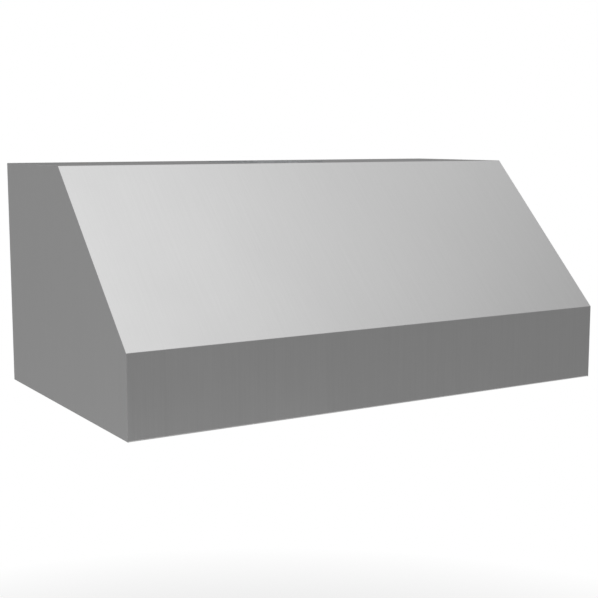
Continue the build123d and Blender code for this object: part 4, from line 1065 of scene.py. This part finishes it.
    def build(self) -> None:
        """Build both knobs with their scales, and dress what is above the panel."""
        for dial in self.dials:
            body, node = f"{dial.side}_control", f"{dial.side}_knob"
            self.bench.hang(self.knob(dial), body, "knob_steel", self.steel, node)
            self.bench.hang(self.pointer_line(dial), body, "switch_black", self.ink)
            self.bench.hang(
                self.scale_plate(dial), "canopy", "dial_grey", self.plate_finish, "dial_rings"
            )
            self.bench.hang(self.scale_marks(dial), "canopy", "switch_black", self.ink)
        self.bench.dress(self.black, "fan_switch", "light_dimmer")
        self.bench.dress(self.shaft, "fan_shaft", "dimmer_shaft")
        self.bench.dress(self.zinc, "control_cover")
        self.bench.dress(self.case, "led_driver")


@dataclass
class Blowers:
    """Two scroll blowers: zinc scrolls, black motors, bladed wheels and their capacitors."""

    bench: Bench
    zinc: Finish = ZincSheet("scroll_zinc")
    wheel: Finish = SmoothMetal("wheel_zinc", (0.5, 0.51, 0.53), 0.4)
    enamel: Finish = MouldedPlastic("motor_black", (0.03, 0.031, 0.033), 0.38, 700.0)
    shaft: Finish = SmoothMetal("shaft_steel", (0.55, 0.55, 0.55), 0.22)
    can: Finish = MouldedPlastic("capacitor_white", (0.75, 0.75, 0.72), 0.4)

    def build(self) -> None:
        """Dress both blowers."""
        for side in ("left", "right"):
            self.bench.dress(
                self.zinc, f"{side}_scroll", f"{side}_inlet_plate", f"{side}_motor_plate"
            )
            self.bench.dress(self.wheel, f"{side}_impeller")
            self.bench.dress(self.enamel, f"{side}_motor")
            self.bench.dress(self.shaft, f"{side}_motor_shaft")
        self.bench.dress(self.can, "capacitors")


@dataclass
class AirOutlet:
    """Plenum, duct collar and the two flaps of the backdraft damper."""

    bench: Bench
    zinc: Finish = ZincSheet("plenum_zinc")
    # The collar's zinc is lighter than the plenum's: partly a bright galvanised coat, partly
    # painted light that lifts the shade inside the collar.
    collar: Finish = ZincSheet(
        "collar_zinc_painted_light", (0.63, 0.64, 0.65), (0.77, 0.78, 0.79), crystal=120.0, roughness=0.36
    )
    flap: Finish = SmoothMetal("damper_aluminium", (0.72, 0.73, 0.74), 0.36)
    pin: Finish = SmoothMetal("pin_steel", (0.55, 0.55, 0.55), 0.25)

    def build(self) -> None:
        """Dress the outlet."""
        self.bench.dress(self.zinc, "plenum")
        self.bench.dress(self.collar, "duct_collar")
        self.bench.dress(self.flap, "left_flap", "right_flap")
        self.bench.dress(self.pin, "damper_pin")


@dataclass
class Supply:
    """Junction box, its cover and gland, and the leads inside."""

    bench: Bench
    zinc: Finish = ZincSheet("box_zinc", crystal=140.0)
    brass: Finish = SmoothMetal("gland_brass", (0.66, 0.55, 0.34), 0.26)
    rubber: Finish = MouldedPlastic("lead_grey", (0.09, 0.09, 0.1), 0.6, 1400.0, 0.00004)

    def build(self) -> None:
        """Dress the supply."""
        self.bench.dress(self.zinc, "junction_box", "junction_cover")
        self.bench.dress(self.brass, "cable_gland")
        self.bench.dress(self.rubber, "internal_leads")


@dataclass
class Screws:
    """Domed screws with a cross recess: on the control cover, the box cover and the motors."""

    bench: Bench
    head: float = 0.0038
    height: float = 0.0016
    shank: float = 0.0020
    flat: float = 0.0026
    dome: tuple[tuple[float, float], ...] = ((0.87, 0.90), (0.97, 0.66), (1.0, 0.36), (1.0, 0.0))
    head_steps: int = 24
    twist: float = 0.7
    slot: float = 0.0020
    slot_width: float = 0.0004
    slot_depth: float = 0.0008
    cover_x: float = 0.136
    cover_ys: tuple[float, ...] = (-0.5516, -0.4996)
    cover_z: float = 0.0744 + RIM_Z
    cover_grip: float = 0.0024
    box_places: tuple[tuple[float, float], ...] = ((-0.4441, -0.1281), (-0.3559, -0.0399))
    box_z: float = 0.3988 + RIM_Z
    box_grip: float = 0.0109
    motor_x: float = 0.117
    motor_y: float = -0.165
    motor_z: float = 0.226 + RIM_Z
    motor_reach: float = 0.03818
    motor_grip: float = 0.0040
    steel: Finish = SmoothMetal("screw_steel", (0.62, 0.62, 0.63), 0.24)

    def recess(self, shape: Shape) -> list[Edge]:
        """Sink the cross.

        Args:
            shape: The empty shape that takes it.

        Returns:
            The edges of its mouth.
        """
        bmesh.ops.create_grid(shape, x_segments=3, y_segments=3, size=self.slot)
        third = self.slot / 3
        for vert in shape.verts:
            for axis in range(2):
                if abs(vert.co[axis]) < self.slot / 2:
                    vert.co[axis] *= self.slot_width / third
            vert.co.z = self.height
        corners = [
            face for face in shape.faces
            if min(abs(value) for value in face.calc_center_median().xy) > self.slot_width
        ]
        bmesh.ops.delete(shape, geom=corners, context="FACES")
        mouth = list(shape.faces)
        sunk = bmesh.ops.extrude_face_region(shape, geom=mouth, use_keep_orig=True)["geom"]
        bmesh.ops.translate(shape, vec=(0.0, 0.0, -self.slot_depth), verts=verts_in(sunk))
        bmesh.ops.delete(shape, geom=mouth, context="FACES")
        return [edge for edge in shape.edges if edge.is_boundary]

    def screw(self, grip: float, twist: float) -> Shape:
        """Shape one screw that stands on its seat with its head up.

        Args:
            grip: How far the shank goes down.
            twist: How far the screw was turned when it came tight.

        Returns:
            The screw about its axis.
        """
        shape = bmesh.new()
        mouth = self.recess(shape)
        bmesh.ops.create_circle(
            shape, radius=self.flat, segments=self.head_steps,
            matrix=Matrix.Translation((0, 0, self.height)),
        )
        rim = [edge for edge in shape.edges if edge.is_wire]
        bmesh.ops.bridge_loops(shape, edges=mouth + rim)
        thin = self.shank / self.head
        for out, up in (*self.dome, (thin, 0.0), (thin, -grip / self.height)):
            grown = bmesh.ops.extrude_edge_only(shape, edges=rim)["geom"]
            verts = verts_in(grown)
            rim = [
                item for item in grown
                if isinstance(item, Edge) and all(v in verts for v in item.verts)
            ]
            for vert in verts:
                vert.co.xy = vert.co.xy.normalized() * self.head * out
                vert.co.z = self.height * up
        bmesh.ops.edgeloop_fill(shape, edges=rim)
        bmesh.ops.rotate(shape, matrix=Matrix.Rotation(twist, 3, "Z"), verts=shape.verts)
        bmesh.ops.recalc_face_normals(shape, faces=shape.faces)
        return shape

    def places(self) -> list[tuple[Triple, float, Matrix]]:
        """List the screws.

        Returns:
            Each one's seat, how far its shank goes in, and which way its head looks.
        """
        up, down = Matrix.Identity(4), Matrix.Rotation(math.pi, 4, "X")
        found = [
            ((side * self.cover_x, y, self.cover_z), self.cover_grip, up)
            for side in (-1, 1) for y in self.cover_ys
        ]
        found += [((x, y, self.box_z), self.box_grip, down) for x, y in self.box_places]
        for side in (-1, 1):
            inward = Matrix.Rotation(-side * math.pi / 2, 4, "Y")
            for a in (-1, 1):
                for b in (-1, 1):
                    y, z = self.motor_y + a * self.motor_reach, self.motor_z + b * self.motor_reach
                    found.append(((side * self.motor_x, y, z), self.motor_grip, inward))
        return found

    def build(self) -> None:
        """Build all the screws as one piece."""
        shapes = [
            moved(self.screw(grip, self.twist * number), seat, turn)
            for number, (seat, grip, turn) in enumerate(self.places())
        ]
        self.bench.hang(
            placed_mesh("cross_screws", gathered(shapes), crease=40.0), "canopy", "screw_steel",
            self.steel, "screws",
        )


@dataclass
class Studio:
    """Pale floor, white surround, soft lamps and the camera at the photograph's angle."""

    eye: Triple = (-1.2798, -2.3910, 0.2503)
    yaw: float = 0.5465
    pitch: float = -0.1368
    lens: float = 70.15
    sensor: float = 36.0
    reach: tuple[float, float] = (0.05, 100.0)
    aim: Triple = (0.0, -0.3, 0.0)
    key_place: Triple = (0.2, -0.9, 3.3)
    key_size: float = 2.4
    key_power: float = 7.5
    floor_z: float = -1.957
    floor_radius: float = 14.0
    floor_cells: float = 60.0
    round_steps: int = 96
    floor_fade: tuple[float, float] = (1.2, 3.4)
    floor_dark: Colour = (0.86, 0.86, 0.86)
    floor_light: Colour = (0.9, 0.9, 0.9)
    ambient: float = 0.66
    card_left: float = 0.466
    card_right: float = 0.338
    card_back: float = 0.175
    card_turn: tuple[float, float] = (-2.3, 0.6)
    card_rear: tuple[float, float] = (-1.6, 2.2)
    card_radius: float = 4.2
    card_pale: float = 1.4
    card_top: float = 5.0

    def camera(self) -> None:
        """Set the camera where the photograph was taken from."""
        data = bpy.data.cameras.new("camera")
        data.sensor_width = self.sensor
        data.lens = self.lens
        data.clip_start, data.clip_end = self.reach
        camera = bpy.data.objects.new("camera", data)
        camera.location = self.eye
        camera.rotation_euler = (math.pi / 2 + self.pitch, 0.0, -self.yaw)
        bpy.context.scene.collection.objects.link(camera)
        bpy.context.scene.camera = camera

    def direct_view(self, tree: bpy.types.NodeTree) -> Socket:
        """Find the rays that show the background: seen directly, mirrored, or through glass.

        Args:
            tree: The node tree that needs to know.

        Returns:
            1 for such a ray and 0 for light that falls on things.
        """
        path = tree.nodes.new("ShaderNodeLightPath")
        found = path.outputs["Is Camera Ray"]
        for other in ("Is Glossy Ray", "Is Transmission Ray"):
            both = tree.nodes.new("ShaderNodeMath")
            both.operation = "MAXIMUM"
            tree.links.new(found, both.inputs[0])
            tree.links.new(path.outputs[other], both.inputs[1])
            found = both.outputs[0]
        return found

    def world(self) -> None:
        """White surround for the eye, and plain even light on the object."""
        world = bpy.data.worlds.new("studio")
        world.use_nodes = True
        tree = world.node_tree
        shown = tree.nodes["Background"]
        shown.inputs["Color"].default_value = (1.0, 1.0, 1.0, 1.0)
        shown.inputs["Strength"].default_value = 1.0
        lit = tree.nodes.new("ShaderNodeBackground")
        lit.inputs["Color"].default_value = (1.0, 1.0, 1.0, 1.0)
        lit.inputs["Strength"].default_value = self.ambient
        mix = tree.nodes.new("ShaderNodeMixShader")
        tree.links.new(self.direct_view(tree), mix.inputs[0])
        tree.links.new(lit.outputs[0], mix.inputs[1])
        tree.links.new(shown.outputs[0], mix.inputs[2])
        tree.links.new(mix.outputs[0], tree.nodes["World Output"].inputs["Surface"])
        bpy.context.scene.world = world

    def lamp(self, name: str, place: Triple, size: float, power: float) -> None:
        """Hang one soft square lamp that looks at the hood.

        Args:
            name: The lamp's name.
            place: Where it hangs.
            size: The length of its side.
            power: Its power in watts.
        """
        data = bpy.data.lights.new(name, "AREA")
        data.shape = "SQUARE"
        data.size = size
        data.energy = power
        lamp = bpy.data.objects.new(name, data)
        lamp.location = place
        look = Vector(self.aim) - Vector(place)
        lamp.rotation_euler = look.to_track_quat("-Z", "Y").to_euler()
        bpy.context.scene.collection.objects.link(lamp)

    def floor(self) -> None:
        """Lay the pale floor, which fades to white away from the hood and is clear from below."""
        shape = bmesh.new()
        bmesh.ops.create_circle(
            shape, cap_ends=True, radius=self.floor_radius, segments=self.round_steps
        )
        bmesh.ops.translate(shape, vec=(0.0, 0.0, self.floor_z), verts=shape.verts)
        floor = placed_mesh("floor", shape)
        sketch = NodeSketch("floor_paint")
        speckle = sketch.noise(self.floor_cells)
        sketch.set(
            Base_Color=sketch.tint(speckle, self.floor_dark, self.floor_light), Roughness=0.8
        )
        level = {0: sketch.scaled_place((1.0, 1.0, 0.0))}
        reach = sketch.node("ShaderNodeVectorMath", level, operation="LENGTH")
        far = sketch.remap(reach.outputs["Value"], *self.floor_fade, 0.0, 1.0)
        fade = sketch.node("ShaderNodeMixShader", {
            0: sketch.combine("MULTIPLY", far, self.direct_view(sketch.tree)),
            1: sketch.shader.outputs[0],
            2: sketch.node("ShaderNodeEmission", {"Strength": 1.0}).outputs[0],
        })
        under = sketch.node("ShaderNodeMixShader", {
            0: sketch.node("ShaderNodeNewGeometry").outputs["Backfacing"],
            1: fade.outputs[0],
            2: sketch.node("ShaderNodeBsdfTransparent").outputs[0],
        })
        sketch.feed(under.outputs[0], sketch.out.inputs["Surface"])
        floor.data.materials.append(sketch.material)

    def cards(self) -> None:
        """Stand a round of grey card, out of sight, for the steel to mirror."""
        shape = bmesh.new()
        bmesh.ops.create_circle(shape, radius=self.card_radius, segments=self.round_steps)
        bmesh.ops.translate(shape, vec=(0.0, 0.0, self.floor_z), verts=shape.verts)
        risen = bmesh.ops.extrude_edge_only(shape, edges=shape.edges)["geom"]
        bmesh.ops.translate(
            shape, vec=(0.0, 0.0, self.card_top - self.floor_z), verts=verts_in(risen)
        )
        cards = placed_mesh("grey_cards", shape)
        sketch = NodeSketch("grey_card")
        across = sketch.node("ShaderNodeSeparateXYZ", {0: sketch.place})
        right = sketch.remap(across.outputs["Y"], *self.card_rear, self.card_right, self.card_back)
        east = sketch.remap(across.outputs["X"], *self.card_turn, 0.0, 1.0)
        lift = sketch.remap(across.outputs["Z"], self.card_pale, self.card_top, 0.0, 1.0)
        tone = sketch.mixed(east, self.card_left, right)
        glow = sketch.node("ShaderNodeEmission", {"Strength": sketch.mixed(lift, tone, 1.0)})
        sketch.feed(glow.outputs[0], sketch.out.inputs["Surface"])
        cards.data.materials.append(sketch.material)
        for ray in ("camera", "diffuse", "transmission", "shadow"):
            setattr(cards, f"visible_{ray}", False)

    def build(self) -> None:
        """Set up the whole studio."""
        self.camera()
        self.world()
        self.floor()
        self.cards()
        self.lamp("key_lamp", self.key_place, self.key_size, self.key_power)
        bpy.context.scene.view_settings.view_transform = "Standard"


def main() -> None:
    """Build the looks of the hood round its frame."""
    logging.basicConfig(level=logging.INFO, format="%(message)s")
    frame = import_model()
    bench = Bench(frame)
    for part in (Canopy, Underside, Filters, Lamps, Controls, Blowers, AirOutlet, Supply, Screws):
        part(bench).build()
        LOG.info("%s done", part.__name__)
    Studio().build()


if __name__ == "__main__":
    main()
